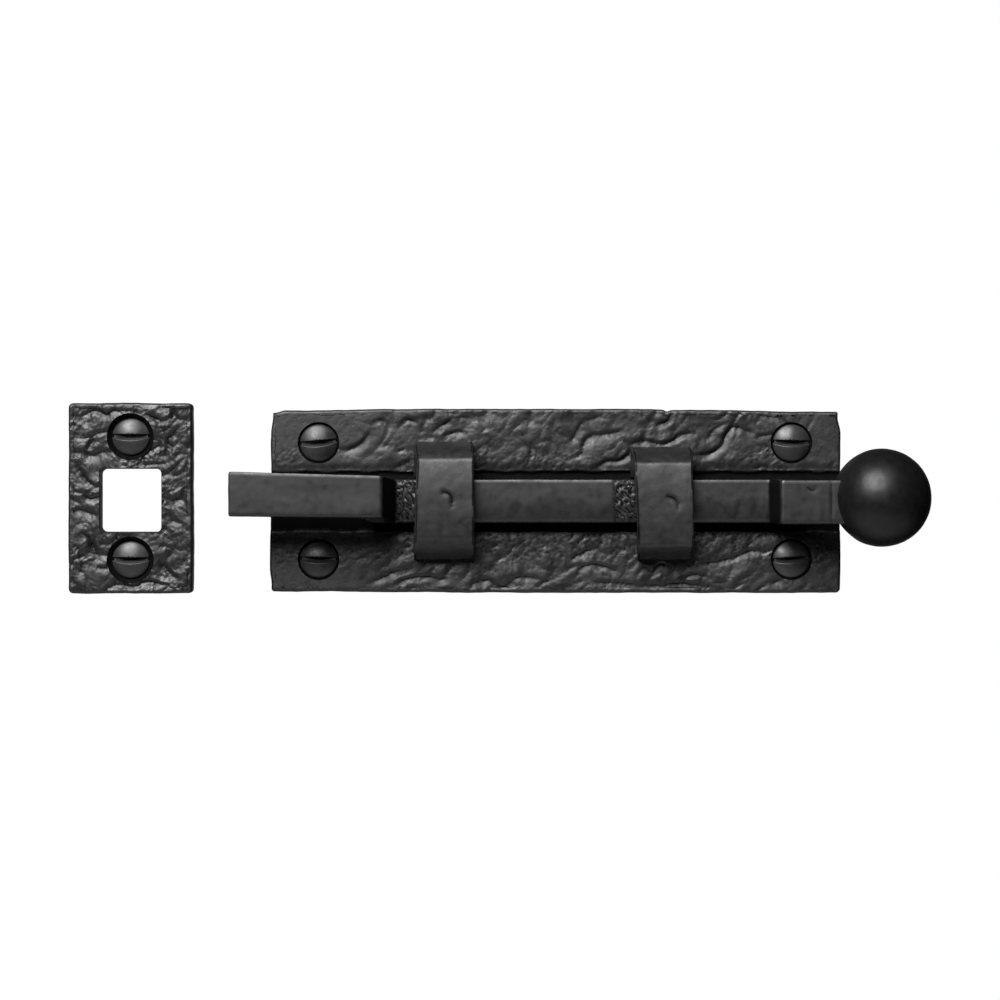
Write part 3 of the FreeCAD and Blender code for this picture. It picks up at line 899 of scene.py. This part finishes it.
KEEP_CREASES = (
    Crease(((-85.4, 15.0), (-84.1, 14.8), (-82.9, 15.6), (-81.5, 16.0), (-79.8, 15.4), (-78.1, 16.1), (-74.5, 16.2)), 0.34, 0.4),
    Crease(((-72.6, 15.5), (-71.2, 14.8), (-69.7, 14.2), (-68.8, 14.5)), 0.3, 0.35),
    Crease(((-70.1, 16.8), (-68.3, 16.4), (-67.6, 15.1), (-66.6, 14.5), (-65.4, 14.7)), 0.32, 0.4),
    Crease(((-85.8, 8.8), (-84.1, 8.6), (-82.4, 8.2), (-80.7, 8.8), (-79.5, 8.4)), 0.42, 0.55),
    Crease(((-82.3, 11.1), (-82.8, 10.1), (-83.1, 9.2)), 0.2, 0.35),
    Crease(((-85.0, 6.6), (-84.1, 5.0), (-82.8, 3.4), (-81.5, 2.6)), 0.26, 0.3),
    Crease(((-83.6, 0.9), (-82.4, 0.4), (-81.3, 0.7)), 0.34, 0.35),
    Crease(((-85.8, -2.0), (-84.3, -1.7), (-82.9, -2.2), (-81.8, -2.6)), 0.34, 0.5),
    Crease(((-83.7, -6.0), (-82.7, -6.7), (-82.1, -8.1), (-81.3, -9.9)), 0.34, 0.35),
    Crease(((-81.1, -11.8), (-79.8, -11.8), (-79.0, -10.8)), 0.3, 0.35),
    Crease(((-85.5, -7.9), (-84.3, -9.1), (-84.0, -11.0), (-84.3, -12.7)), 0.22, 0.35),
    Crease(((-70.3, 8.6), (-69.5, 8.0), (-68.8, 9.5), (-68.7, 11.1), (-67.6, 12.1)), 0.34, 0.4),
    Crease(((-69.6, 4.3), (-68.4, 5.0), (-67.1, 6.2), (-66.3, 7.2)), 0.26, 0.4),
    Crease(((-69.5, 1.5), (-68.2, 0.2), (-66.4, 0.8), (-65.6, 2.2)), 0.42, 0.5),
    Crease(((-69.9, -2.6), (-68.8, -2.3), (-68.1, -3.3), (-67.9, -4.8)), 0.16, 0.35),
    Crease(((-70.3, -10.2), (-69.3, -11.8), (-68.2, -13.0), (-66.9, -14.0)), 0.34, 0.45),
    Crease(((-79.1, -15.6), (-77.2, -14.9), (-74.5, -15.2), (-72.6, -14.4), (-68.8, -15.0)), 0.36, 0.4),
)


# ---------------------------------------------------------------- staples


@dataclass
class Staple:
    """A cast bridge with leaning sides, a square opening and two peened tenons."""

    node: str
    foot: Flat
    crown: Flat
    ends: tuple[Flat, Flat, Flat, Flat]
    dents: tuple[Crease, ...]
    seed: float
    opening_half: float = 4.25
    crown_thickness: float = 2.4
    buried: float = 3.05
    edge: float = 0.30
    dome: float = 0.6
    tenon_z: float = 7.65
    peen_radius: float = 2.3
    steps_across: int = 120
    steps_along: int = 44

    def build(self) -> bpy.types.Object:
        """Builds the bridge from one sheet that is given a wall, and places it."""
        low, high = mm_box(self.node)
        top = -low.y
        opening_top = top - self.crown_thickness
        outer = self.outline(top)
        hollow = [
            (-self.opening_half, self.buried),
            (-self.opening_half, opening_top),
            (self.opening_half, opening_top),
            (self.opening_half, self.buried),
        ]
        inner = evenly(rounded_path(hollow, [0.5] * 4, False), self.steps_across + 1, False)
        mesh = bmesh.new()
        bmesh.ops.create_grid(mesh, x_segments=self.steps_along, y_segments=self.steps_across, size=0.5)
        number = {vert: round((vert.co.y + 0.5) * self.steps_across) for vert in mesh.verts}
        left_end = {vert for vert in mesh.verts if vert.co.x < -0.4999}
        right_end = {vert for vert in mesh.verts if vert.co.x > 0.4999}
        middle = (high.x + low.x) / 2
        for vert, index in number.items():
            flat = outer[index]
            left, right = self.ends_at(flat)
            vert.co = out(left + (vert.co.x + 0.5) * (right - left), flat.y, flat.x)
        sheet = list(mesh.faces)
        before = {vert: number[vert] for vert in mesh.verts}
        wall = bmesh.ops.extrude_face_region(mesh, geom=sheet, use_keep_orig=True)["geom"]
        tree = kdtree.KDTree(len(before))
        owners = list(before)
        for index, vert in enumerate(owners):
            tree.insert(vert.co, index)
        tree.balance()
        for vert in (item for item in wall if isinstance(item, bmesh.types.BMVert)):
            owner = owners[tree.find(vert.co)[1]]
            flat = inner[before[owner]]
            vert.co = out(vert.co.x, flat.y, flat.x)
        bmesh.ops.recalc_face_normals(mesh, faces=mesh.faces)
        self.round_ends(mesh, (left_end, right_end))
        self.add_peens(mesh, middle)
        self.roughen(mesh)
        mark_wear_and_shade(mesh, 0.22)
        name = self.node + "_casting"
        return place(mesh, name, "plate", "staple_black", [self.node], Finish.STAPLE.value.material())

    def outline(self, top: float) -> list[Vector]:
        """The bridge's outer line from foot to foot, with bulging sides and a domed crown."""
        ridge = top - self.dome
        line = []
        for side in (0, 1):
            foot = Vector((self.foot[side], self.buried, 0))
            edge = Vector((self.crown[side], ridge, 0))
            hip = Vector((self.foot[side] + (self.crown[side] - self.foot[side]) * 0.12, self.buried + 4.6, 0))
            bend = interpolate_bezier(foot, hip, hip.lerp(edge, 0.6), edge, 17)
            line.append(bend)
        crown = []
        for number in range(1, 24):
            share = number / 12 - 1
            z = (self.crown[0] + self.crown[1] + share * (self.crown[1] - self.crown[0])) / 2
            crown.append(Vector((z, top - self.dome * abs(share) ** 2.2, 0)))
        path = evenly([*line[0], *crown, *reversed(line[1])], self.steps_across + 1, False)
        for _ in range(2):
            path = BoltBar.soften(path)
        return path

    def ends_at(self, flat: Vector) -> Flat:
        """Left and right end of the bridge at a point of its outline, by its four corners."""
        marks = (self.foot[0], self.crown[0], self.crown[1], self.foot[1])
        for index in range(3):
            if flat.x <= marks[index + 1] or index == 2:
                share = min(1.0, max(0.0, (flat.x - marks[index]) / (marks[index + 1] - marks[index])))
                first, last = self.ends[index], self.ends[index + 1]
                return (first[0] + (last[0] - first[0]) * share, first[1] + (last[1] - first[1]) * share)
        return self.ends[3]

    def round_ends(self, mesh: Mesh, ends: tuple[set, set]) -> None:
        """Bevels the two long edges of the bridge's outer skin."""
        edges = [edge for edge in mesh.edges for end in ends if edge.verts[0] in end and edge.verts[1] in end]
        bmesh.ops.bevel(
            mesh, geom=edges, offset=self.edge, offset_type="OFFSET", segments=4,
            profile=0.5, affect="EDGES", material=-1,
        )

    def add_peens(self, mesh: Mesh, middle: float) -> None:
        """Adds the hammered ends of the two tenons, which show behind the plate."""
        for z in (-self.tenon_z, self.tenon_z):
            turned = Matrix.Translation(out(middle, 0.35, z)) @ face_the_viewer().to_4x4()
            bmesh.ops.create_cone(
                mesh, cap_ends=True, segments=48, depth=0.65, matrix=turned,
                radius1=self.peen_radius, radius2=self.peen_radius - 0.65,
            )

    def roughen(self, mesh: Mesh) -> None:
        """Makes the skin gently uneven and dents the crown."""
        field = CreaseField(self.dents)
        mesh.normal_update()
        top = max(-vert.co.y for vert in mesh.verts)
        for vert in mesh.verts:
            x, height, z = vert.co.x, -vert.co.y, vert.co.z
            if height < self.buried + 0.05:
                continue
            lift = 0.09 * wave(x, height, z, 3.6, self.seed) + 0.03 * wave(x, height, z, 1.3, self.seed)
            lift += 0.008 * wave(x, height, z, 0.45, self.seed) - 0.03
            if height > top - 0.6:
                lift += field.height_at(x, z)
            if abs(z) <= self.opening_half + 0.01 and height <= top - self.crown_thickness + 0.01:
                lift *= 0.3
            vert.co += vert.normal * lift


# ---------------------------------------------------------------- bolt


@dataclass
class BoltBar:
    """The rectangular bar: a low run under the staples with a raised nose and neck."""

    thickness: float = 6.0
    width: float = 7.6
    nose_tip: Flat = (1.22, 7.8)
    nose_root: Flat = (0.76, 7.3)
    neck: Flat = (-0.18, 7.65)
    nose_slope: float = 2.0
    neck_slope: float = 1.3
    stop_room: float = 0.1
    step: float = 0.26
    around: int = 84
    tip_round: float = 0.35

    def outline(self) -> tuple[list[Vector], list[Vector], list[Flat]]:
        """The bar's upper and lower line seen from the side, and its shift and width.

        Returns:
            Points of the upper line, of the lower line, and (shift, width) beside each.
        """
        low, high = mm_box("bolt_bar")
        knob_low, knob_high = mm_box("ball_knob")
        retract, throw = joint_range("bolt_slide")
        arm_top, run_bottom = -low.y, -high.y
        run_top = run_bottom + self.thickness
        arm_bottom = arm_top - self.thickness
        knob_x = knob_high.x - (knob_high.z - knob_low.z) / 2
        foot = mm_box("front_staple")[0].x + retract
        rear_foot = mm_box("rear_staple")[1].x + throw + self.stop_room
        rise = arm_top - run_top
        front = self.thickness * math.tan(math.atan2(rise, self.nose_slope) / 2)
        rear = self.thickness * math.tan(math.atan2(rise, self.neck_slope) / 2)
        self.cranks = ((foot - self.nose_slope, foot + 0.2), (rear_foot - 0.1, rear_foot + self.neck_slope))
        plan = (
            (low.x + self.tip_round, arm_top, arm_bottom, 0.0, self.nose_tip),
            (foot - self.nose_slope, arm_top, arm_bottom, -front, self.nose_root),
            (foot, run_top, run_bottom, -front, (0.0, self.width)),
            (rear_foot, run_top, run_bottom, rear, (0.0, self.width)),
            (rear_foot + self.neck_slope, arm_top, arm_bottom, rear, self.neck),
            (knob_x - 5.0, arm_top, arm_bottom, 0.0, self.neck),
        )
        upper: list[Vector] = []
        lower: list[Vector] = []
        sides: list[Flat] = []
        for first, last in zip(plan, plan[1:]):
            reach = math.hypot(last[0] - first[0], last[1] - first[1])
            count = round(reach / self.step)
            for number in range(count):
                share = number / count
                blend = [a + (b - a) * share for a, b in zip(first[:4], last[:4])]
                upper.append(Vector((blend[0], blend[1], 0)))
                lower.append(Vector((blend[0] + blend[3], blend[2], 0)))
                shift = first[4][0] + (last[4][0] - first[4][0]) * share
                sides.append((shift, first[4][1] + (last[4][1] - first[4][1]) * share))
        for _ in range(3):
            upper = self.soften(upper)
            lower = self.soften(lower)
        return upper, lower, sides

    @staticmethod
    def soften(line: list[Vector]) -> list[Vector]:
        """One pass of rounding along a line, with its ends held."""
        inner = [(a + 2 * b + c) / 4 for a, b, c in zip(line, line[1:], line[2:])]
        return [line[0], *inner, line[-1]]

    def section(self) -> list[Flat]:
        """Points around the bar's section, as shares of its width and thickness."""
        half = self.width / 2
        corners = [(-half, 0.0), (half, 0.0), (half, self.thickness), (-half, self.thickness)]
        path = evenly(rounded_path(corners, [0.4, 0.4, 0.32, 0.5], True), self.around, True)
        return [(point.x / half, point.y / self.thickness) for point in path]

    def build(self) -> bpy.types.Object:
        """Sweeps the section along the bar ring by ring, and places it."""
        upper, lower, sides = self.outline()
        section = self.section()
        rings = []
        for top, bottom, (shift, width) in zip(upper, lower, sides):
            ring = []
            for across, share in section:
                spot = bottom.lerp(top, share)
                ring.append(out(spot.x, spot.y, shift + across * width / 2))
            rings.append(ring)
        mesh = bmesh.new()
        made = bmesh.ops.create_circle(mesh, segments=self.around, radius=1)["verts"]
        for vert, spot in zip(made, rings[0]):
            vert.co = spot
        first = list(mesh.edges)
        loop = first
        for before, after in zip(rings, rings[1:]):
            loop = self.sweep(mesh, loop, before, after)
        bmesh.ops.edgeloop_fill(mesh, edges=loop)
        self.close_tip(mesh, first, rings[0])
        bmesh.ops.recalc_face_normals(mesh, faces=mesh.faces)
        self.roughen(mesh)
        # The crank slopes get painted shade through on_slope.
        mark_wear_and_shade(mesh, 0.22, self.on_slope)
        return place(mesh, "bolt_bar_casting", "bolt", "bolt_black", ["bolt_bar"], Finish.BAR.value.material())

    @staticmethod
    def sweep(mesh: Mesh, loop: Edges, before: list[Vector], after: list[Vector]) -> Edges:
        """Extrudes one ring to the next one's places."""
        tree = kdtree.KDTree(len(before))
        for index, spot in enumerate(before):
            tree.insert(spot, index)
        tree.balance()
        return extend(mesh, loop, lambda place: after[tree.find(place)[1]])

    def close_tip(self, mesh: Mesh, loop: Edges, ring: list[Vector]) -> None:
        """Rounds the nose's end over and closes it."""
        middle = sum(ring, Vector()) / len(ring)
        for share, reach in ((0.975, 0.7), (0.93, 0.95), (0.86, 1.0), (0.5, 1.0), (0.2, 1.0)):
            scale = share / self.last_share if reach > 0.7 else share
            self.last_share = share

            def inward(place: Vector) -> Vector:
                spot = middle + (place - middle) * scale
                return Vector((ring[0].x - self.tip_round * reach, spot.y, spot.z))

            loop = extend(mesh, loop, inward)
        bmesh.ops.edgeloop_fill(mesh, edges=loop)

    def on_slope(self, place: Vector) -> float:
        """How far a point lies within the two cranks, which are given painted shade."""
        for low, high in self.cranks:
            if low < place.x < high:
                return 0.85 * smooth_step(min(place.x - low, high - place.x), 0.0, 0.3)
        return 0.0

    def patches(self) -> tuple[Flat, Flat]:
        """The two stretches of the run that were left as cast, as X ranges."""
        retract = -joint_range("bolt_slide")[0]
        ranges = []
        for staple in ("front_staple", "rear_staple"):
            low, high = mm_box(staple)
            ranges.append((low.x - retract, high.x - retract))
        return (ranges[0], ranges[1])

    def roughen(self, mesh: Mesh) -> None:
        """Makes the skin gently uneven, with two sandy patches and a few dents."""
        dents = CreaseField((
            Crease(((31.6, -3.2), (32.2, -1.6), (32.4, -0.4)), 0.10, 0.5),
            Crease(((34.6, -3.4), (34.9, -1.8), (35.6, 0.2)), 0.08, 0.45),
            Crease(((43.6, 2.3), (44.4, 1.9), (45.0, 2.4)), 0.10, 0.3),
            Crease(((47.6, 3.4), (47.7, 0.0), (47.6, -3.4)), 0.10, 0.25),
            Crease(((-44.0, -0.4), (-40.0, -0.9), (-36.0, -0.4)), 0.035, 1.4),
        ))
        patches = self.patches()
        run_top = -mm_box("bolt_bar")[1].y + self.thickness
        mesh.normal_update()
        for vert in mesh.verts:
            x, height, z = vert.co.x, -vert.co.y, vert.co.z
            lift = 0.06 * wave(x / 2.2, height, z, 3.0, 8.0) + 0.02 * wave(x, height, z, 1.1, 8.0)
            facing = max(0.0, -vert.normal.y)
            run = smooth_step(x, -28.0, -27.0) * (1 - smooth_step(x, 37.0, 38.0))
            fall = max(0.0, 0.6 - z + 0.9 * wave(x, 3, 0, 5.0, 1.0) * run)
            vert.co.y += (0.008 + 0.032 * run) * fall * fall * smooth_step(height, run_top - 2.2, run_top - 1.2)
            for start, end in patches:
                inside = smooth_step(x, start, start + 0.4) * (1 - smooth_step(x, end - 0.4, end))
                pitted = abs(wave(x, height, z, 0.75, 2.0)) + 0.6 * abs(wave(x, height, z, 0.42, 5.0))
                lift += inside * (0.55 * (pitted - 0.42) - 0.12) * (0.25 + 0.75 * facing)
                groove = math.exp(-(((x - start) / 0.16) ** 2)) + 0.7 * math.exp(-(((x - start - 0.75) / 0.12) ** 2))
                lift -= 0.09 * groove * facing
            if facing > 0.5:
                lift += dents.height_at(x, z)
            if vert.normal.y > 0.5:
                lift = min(lift, 0.02)
            vert.co += vert.normal * min(lift, 0.14)


@dataclass
class BallKnob:
    """The cast ball on the neck's end, with a few ground flats."""

    lump: float = 0.05
    flats: tuple[tuple[Vector, float], ...] = field(default_factory=lambda: (
        (Vector((-0.66, -0.10, -0.74)), 0.955),
        (Vector((0.88, -0.05, -0.45)), 0.985),
    ))

    def build(self) -> bpy.types.Object:
        """Builds the ball and places it."""
        low, high = mm_box("ball_knob")
        radius = (high.z - low.z) / 2
        middle = Vector((high.x - radius, (low.y + high.y) / 2, (low.z + high.z) / 2))
        mesh = bmesh.new()
        bmesh.ops.create_icosphere(mesh, subdivisions=7, radius=radius)
        for vert in mesh.verts:
            ray = vert.co.normalized()
            reach = radius * 0.997
            for direction, share in self.flats:
                facing = ray.dot(direction.normalized())
                if facing * reach > share * radius:
                    reach += 0.8 * (share * radius / facing - reach)
            reach += self.lump * wave(*vert.co, 5.5, 3.3) + 0.015 * wave(*vert.co, 1.6, 3.3)
            vert.co = ray * min(reach, radius + 0.02)
        bmesh.ops.translate(mesh, vec=middle, verts=mesh.verts)
        mark_wear_and_shade(mesh, 0.4)
        return place(mesh, "ball_knob_casting", "bolt", "knob_black", ["ball_knob"], Finish.KNOB.value.material())


# ---------------------------------------------------------------- screws


@dataclass
class WoodScrew:
    """A raised countersunk wood screw with one slot and a true helical thread."""

    node: str
    body: str
    slot_angle: float
    dome: float = 1.0
    head_radius: float = 3.28
    shoulder: float = 1.95
    shank: float = 1.75
    core_share: float = 0.66
    slot_top: float = 0.48
    slot_lip: float = -0.75
    slot_floor: float = 0.25
    pitch: float = 1.5
    thread_share: float = 0.62
    point_slope: float = 0.6
    steps: int = 72

    def head_profile(self) -> list[Vector]:
        """Half outline of the head, as radius and depth below the rim."""
        radius = (self.head_radius ** 2 + self.dome ** 2) / (2 * self.dome)
        span = math.asin(self.head_radius / radius)
        points = []
        for number in range(13):
            turn = span * number / 12 * 0.985
            points.append(Vector((radius * math.sin(turn), radius * (1 - math.cos(turn)) - self.dome, 0)))
        points.append(Vector((self.head_radius, 0.06, 0)))
        points.append(Vector((self.head_radius - 0.05, 0.14, 0)))
        points.append(Vector((self.head_radius - self.slot_floor, self.slot_floor, 0)))
        points.append(Vector((self.shoulder, self.head_radius - self.shoulder, 0)))
        return points

    def spin(self, mesh: Mesh, profile: list[Vector], steps: int) -> None:
        """Turns a half outline about the screw's axis."""
        verts = [bmesh.ops.create_vert(mesh, co=point)["vert"][0] for point in profile]
        edges = [mesh.edges.new(pair) for pair in zip(verts, verts[1:])]
        bmesh.ops.spin(
            mesh, geom=verts + edges, cent=Vector(), axis=Vector((0, 1, 0)), dvec=Vector(),
            angle=2 * math.pi, steps=steps, use_merge=True, use_duplicate=False,
        )
        bmesh.ops.remove_doubles(mesh, verts=mesh.verts, dist=1e-4)

    def cut_slot(self, mesh: Mesh) -> None:
        """Cuts the slot across the head, with one wall upright and the other one leaning."""
        lean = Vector((0, -self.slot_lip, -self.dome - self.slot_floor)).normalized()
        walls = [
            (Vector((0, self.slot_floor, self.slot_top)), Vector((0, 0, 1))),
            (Vector((0, self.slot_floor, 0)), lean),
        ]

        def beyond(place: Vector, wall: int) -> float:
            return (place - walls[wall][0]).dot(walls[wall][1])

        for spot, normal in walls:
            everything = list(mesh.verts) + list(mesh.edges) + list(mesh.faces)
            bmesh.ops.bisect_plane(mesh, geom=everything, dist=1e-5, plane_co=spot, plane_no=normal)
        inside = []
        for face in mesh.faces:
            middle = face.calc_center_median()
            if middle.y < self.slot_floor and beyond(middle, 0) < 0 and beyond(middle, 1) < 0:
                inside.append(face)
        bmesh.ops.delete(mesh, geom=inside, context="FACES")
        rim = open_edges(mesh, lambda place: place.y < self.slot_floor + 1e-4)
        ends = {}
        for vert in {vert for edge in rim for vert in edge.verts}:
            for wall in (0, 1):
                if abs(vert.co.y - self.slot_floor) < 1e-4 and abs(beyond(vert.co, wall)) < 1e-4:
                    ends[(vert.co.x > 0, wall)] = vert
        floor_edges = [mesh.edges.new((ends[(False, wall)], ends[(True, wall)])) for wall in (0, 1)]
        for wall, floor_edge in enumerate(floor_edges):
            side = [edge for edge in rim if all(abs(beyond(v.co, wall)) < 1e-4 for v in edge.verts)]
            bmesh.ops.contextual_create(mesh, geom=side + [floor_edge])
        caps = [edge for edge in rim if all(abs(v.co.y - self.slot_floor) < 1e-4 for v in edge.verts)]
        bmesh.ops.contextual_create(mesh, geom=caps + floor_edges)
        lips = [edge for edge in rim if edge not in caps]
        bmesh.ops.bevel(
            mesh, geom=lips, offset=0.06, offset_type="OFFSET", segments=2,
            profile=0.5, affect="EDGES", material=-1,
        )

    def thread_radius(self, depth: float, turn: float, length: float) -> float:
        """Radius of the shank or its thread at a depth and an angle."""
        start = length * (1 - self.thread_share)
        reach = max(0.02, (length - depth) * self.point_slope)
        full = min(self.shank, reach)
        if depth < start:
            return full
        phase = (depth / self.pitch - turn / (2 * math.pi)) % 1.0
        crest = max(0.0, 1 - abs(phase - 0.5) * 3.2)
        runout = smooth_step(depth, start, start + self.pitch)
        bare = 1 - (1 - self.core_share) * runout
        return full * (bare + (1 - bare) * crest)

    def add_shank(self, mesh: Mesh, rim_height: float, length: float) -> None:
        """Adds the shoulder, the shank and the thread down to the point."""
        top = self.head_radius - self.shoulder
        levels = [(self.shoulder, top - 0.02), (self.shoulder, rim_height - 0.02), (self.shank, rim_height)]
        count = round((length - rim_height) / 0.14)
        levels += [(1.0, rim_height + (length - rim_height) * (n + 1) / count) for n in range(count)]
        shank = bmesh.new()
        self.spin(shank, [Vector((radius, depth, 0)) for radius, depth in levels], 40)
        for vert in shank.verts:
            depth = vert.co.y
            if depth > rim_height + 1e-4:
                turn = math.atan2(vert.co.z, vert.co.x)
                radius = self.thread_radius(depth, turn, length)
                vert.co = Vector((radius * math.cos(turn), depth, radius * math.sin(turn)))
        tip = open_edges(shank, lambda place: place.y > rim_height)
        bmesh.ops.edgeloop_fill(shank, edges=tip)
        carrier = bpy.data.meshes.new("shank")
        shank.to_mesh(carrier)
        shank.free()
        mesh.from_mesh(carrier)
        bpy.data.meshes.remove(carrier)

    def build(self) -> bpy.types.Object:
        """Builds the screw on its own axis, then turns it and moves it to its hole."""
        low, high = mm_box(self.node)
        rim_height = -low.y - self.dome
        length = high.y + rim_height
        mesh = bmesh.new()
        self.spin(mesh, self.head_profile(), self.steps)
        self.cut_slot(mesh)
        self.add_shank(mesh, rim_height, length)
        bmesh.ops.recalc_face_normals(mesh, faces=mesh.faces)
        turned = Matrix.Rotation(-math.radians(self.slot_angle), 3, "Y")
        bmesh.ops.rotate(mesh, cent=Vector(), matrix=turned, verts=mesh.verts)
        middle = out((low.x + high.x) / 2, rim_height, (low.z + high.z) / 2)
        bmesh.ops.translate(mesh, vec=middle, verts=mesh.verts)
        mark_wear_and_shade(mesh, 0.35)
        name = self.node + "_threaded"
        return place(mesh, name, self.body, "screw_black", [self.node], Finish.SCREW.value.material())


# ---------------------------------------------------------------- studio


@dataclass
class Studio:
    """Pale floor, white surround, soft lights and the camera, all in metres."""

    camera_distance: float = 0.500
    view_width: float = 0.1776
    aim: tuple[float, float, float] = (-0.00977, -0.0035, 0.00020)
    floor_drop: float = 0.42

    def floor(self) -> None:
        """A plain pale floor below the object, short enough to stay under the camera's view."""
        mesh = bmesh.new()
        bmesh.ops.create_grid(mesh, x_segments=1, y_segments=1, size=0.5)
        bmesh.ops.scale(mesh, vec=Vector((1.2, 0.62, 1)), verts=mesh.verts)
        bmesh.ops.translate(mesh, vec=Vector((0, -0.2, -self.floor_drop)), verts=mesh.verts)
        data = bpy.data.meshes.new("studio_floor")
        mesh.to_mesh(data)
        mesh.free()
        tree = NodeTree("pale_floor")
        tree.shader.inputs["Base Color"].default_value = (0.72, 0.72, 0.72, 1)
        tree.shader.inputs["Roughness"].default_value = 0.7
        data.materials.append(tree.material)
        floor = bpy.data.objects.new("studio_floor", data)
        bpy.context.scene.collection.objects.link(floor)

    def surround(self) -> None:
        """A world that looks white, is white behind the object and is dim all round it."""
        world = bpy.data.worlds.new("studio_world")
        world.use_nodes = True
        tree = world.node_tree
        white = tree.nodes["Background"]
        white.inputs["Color"].default_value = (1, 1, 1, 1)
        white.inputs["Strength"].default_value = 1.0
        way = tree.nodes.new("ShaderNodeTexCoord")
        parts = tree.nodes.new("ShaderNodeSeparateXYZ")
        behind = tree.nodes.new("ShaderNodeMapRange")
        for name, number in zip(("From Min", "From Max", "To Min", "To Max"), (0.80, 0.97, 0.006, 0.25)):
            behind.inputs[name].default_value = number
        dim = tree.nodes.new("ShaderNodeBackground")
        dim.inputs["Color"].default_value = (1, 1, 1, 1)
        tree.links.new(way.outputs["Generated"], parts.inputs["Vector"])
        tree.links.new(parts.outputs["Y"], behind.inputs["Value"])
        tree.links.new(behind.outputs["Result"], dim.inputs["Strength"])
        path = tree.nodes.new("ShaderNodeLightPath")
        mix = tree.nodes.new("ShaderNodeMixShader")
        tree.links.new(path.outputs["Is Camera Ray"], mix.inputs["Fac"])
        tree.links.new(dim.outputs["Background"], mix.inputs[1])
        tree.links.new(white.outputs["Background"], mix.inputs[2])
        tree.links.new(mix.outputs["Shader"], tree.nodes["World Output"].inputs["Surface"])
        bpy.context.scene.world = world

    def light(self, name: str, place: Sequence[float], size: float, power: float) -> None:
        """A square soft light that looks at the object.

        Args:
            name: Name of the light.
            place: Where it stands.
            size: Length of its side.
            power: Its power in watts.
        """
        data = bpy.data.lights.new(name, "AREA")
        data.size = size
        data.energy = power
        lamp = bpy.data.objects.new(name, data)
        lamp.location = place
        lamp.rotation_euler = (Vector(self.aim) - Vector(place)).to_track_quat("-Z", "Y").to_euler()
        bpy.context.scene.collection.objects.link(lamp)

    def camera(self) -> None:
        """A camera square to the plate."""
        data = bpy.data.cameras.new("studio_camera")
        data.lens = data.sensor_width * self.camera_distance / self.view_width
        data.clip_start = 0.01
        data.clip_end = 20
        camera = bpy.data.objects.new("studio_camera", data)
        camera.location = (self.aim[0], self.aim[1] - self.camera_distance, self.aim[2])
        camera.rotation_euler = (math.radians(90), 0, 0)
        bpy.context.scene.collection.objects.link(camera)
        bpy.context.scene.camera = camera

    def build(self) -> None:
        """Sets the whole studio up."""
        bpy.context.scene.view_settings.view_transform = "Standard"
        self.camera()
        self.floor()
        self.surround()
        self.light("key", (-0.21, -0.54, 0.47), 0.50, 14.5)
        self.light("low_bounce", (0.12, -0.30, -0.60), 0.20, 0.10)
        log.info("studio ready")


def dress_springs() -> None:
    """Gives the hidden spring and its rivet, which keep their CAD shape, their finish."""
    steel = Finish.SPRING.value.material()
    for node in ("friction_spring", "spring_rivet"):
        data = frame["nodes"][node].data
        data.materials.clear()
        data.materials.append(steel)
        log.info("%s keeps its CAD shape", node)


def main() -> None:
    """Builds every piece in turn and the studio around them."""
    logging.basicConfig(level=logging.INFO, format="%(name)s %(message)s")
    plate_screws = tuple(f"plate_screw_{number}" for number in range(1, 5))
    keep_screws = tuple(f"keep_screw_{number}" for number in range(1, 3))
    Backplate(
        "backplate", "plate", "plate_black", Finish.PLATE, plate_screws, BACKPLATE_CREASES,
        seat_depth=0.38, countersink=3.7,
    ).build()
    Keep(
        "keep_plate", "keep", "keep_black", Finish.KEEP, keep_screws, KEEP_CREASES,
        seat_depth=0.88, countersink=4.2, hammer=1.6, seed=11.0, cell=0.16, ring_room=0.1,
    ).build()
    Staple(
        "front_staple", (-10.43, 10.65), (-6.6, 7.4),
        ((-25.1, -14.3), (-24.8, -14.25), (-24.4, -14.3), (-25.1, -14.6)),
        (Crease(((-19.6, 1.6), (-18.7, 1.3), (-18.2, 0.5), (-18.1, -0.6)), 0.2, 0.3),), 1.0,
    ).build()
    Staple(
        "rear_staple", (-10.43, 9.67), (-7.8, 6.7),
        ((14.5, 24.2), (14.3, 24.2), (13.75, 24.0), (13.4, 24.2)),
        (Crease(((19.6, 0.9), (20.6, 0.5), (21.2, -0.2), (21.4, -1.1)), 0.22, 0.3),), 21.0,
    ).build()
    BoltBar().build()
    BallKnob().build()
    for node, angle in zip(plate_screws, (5.0, -1.0, -1.0, 5.0)):
        WoodScrew(node, "plate", angle).build()
    for node in keep_screws:
        WoodScrew(node, "keep", 0.0).build()
    dress_springs()
    Studio().build()


if __name__ == "__main__":
    main()
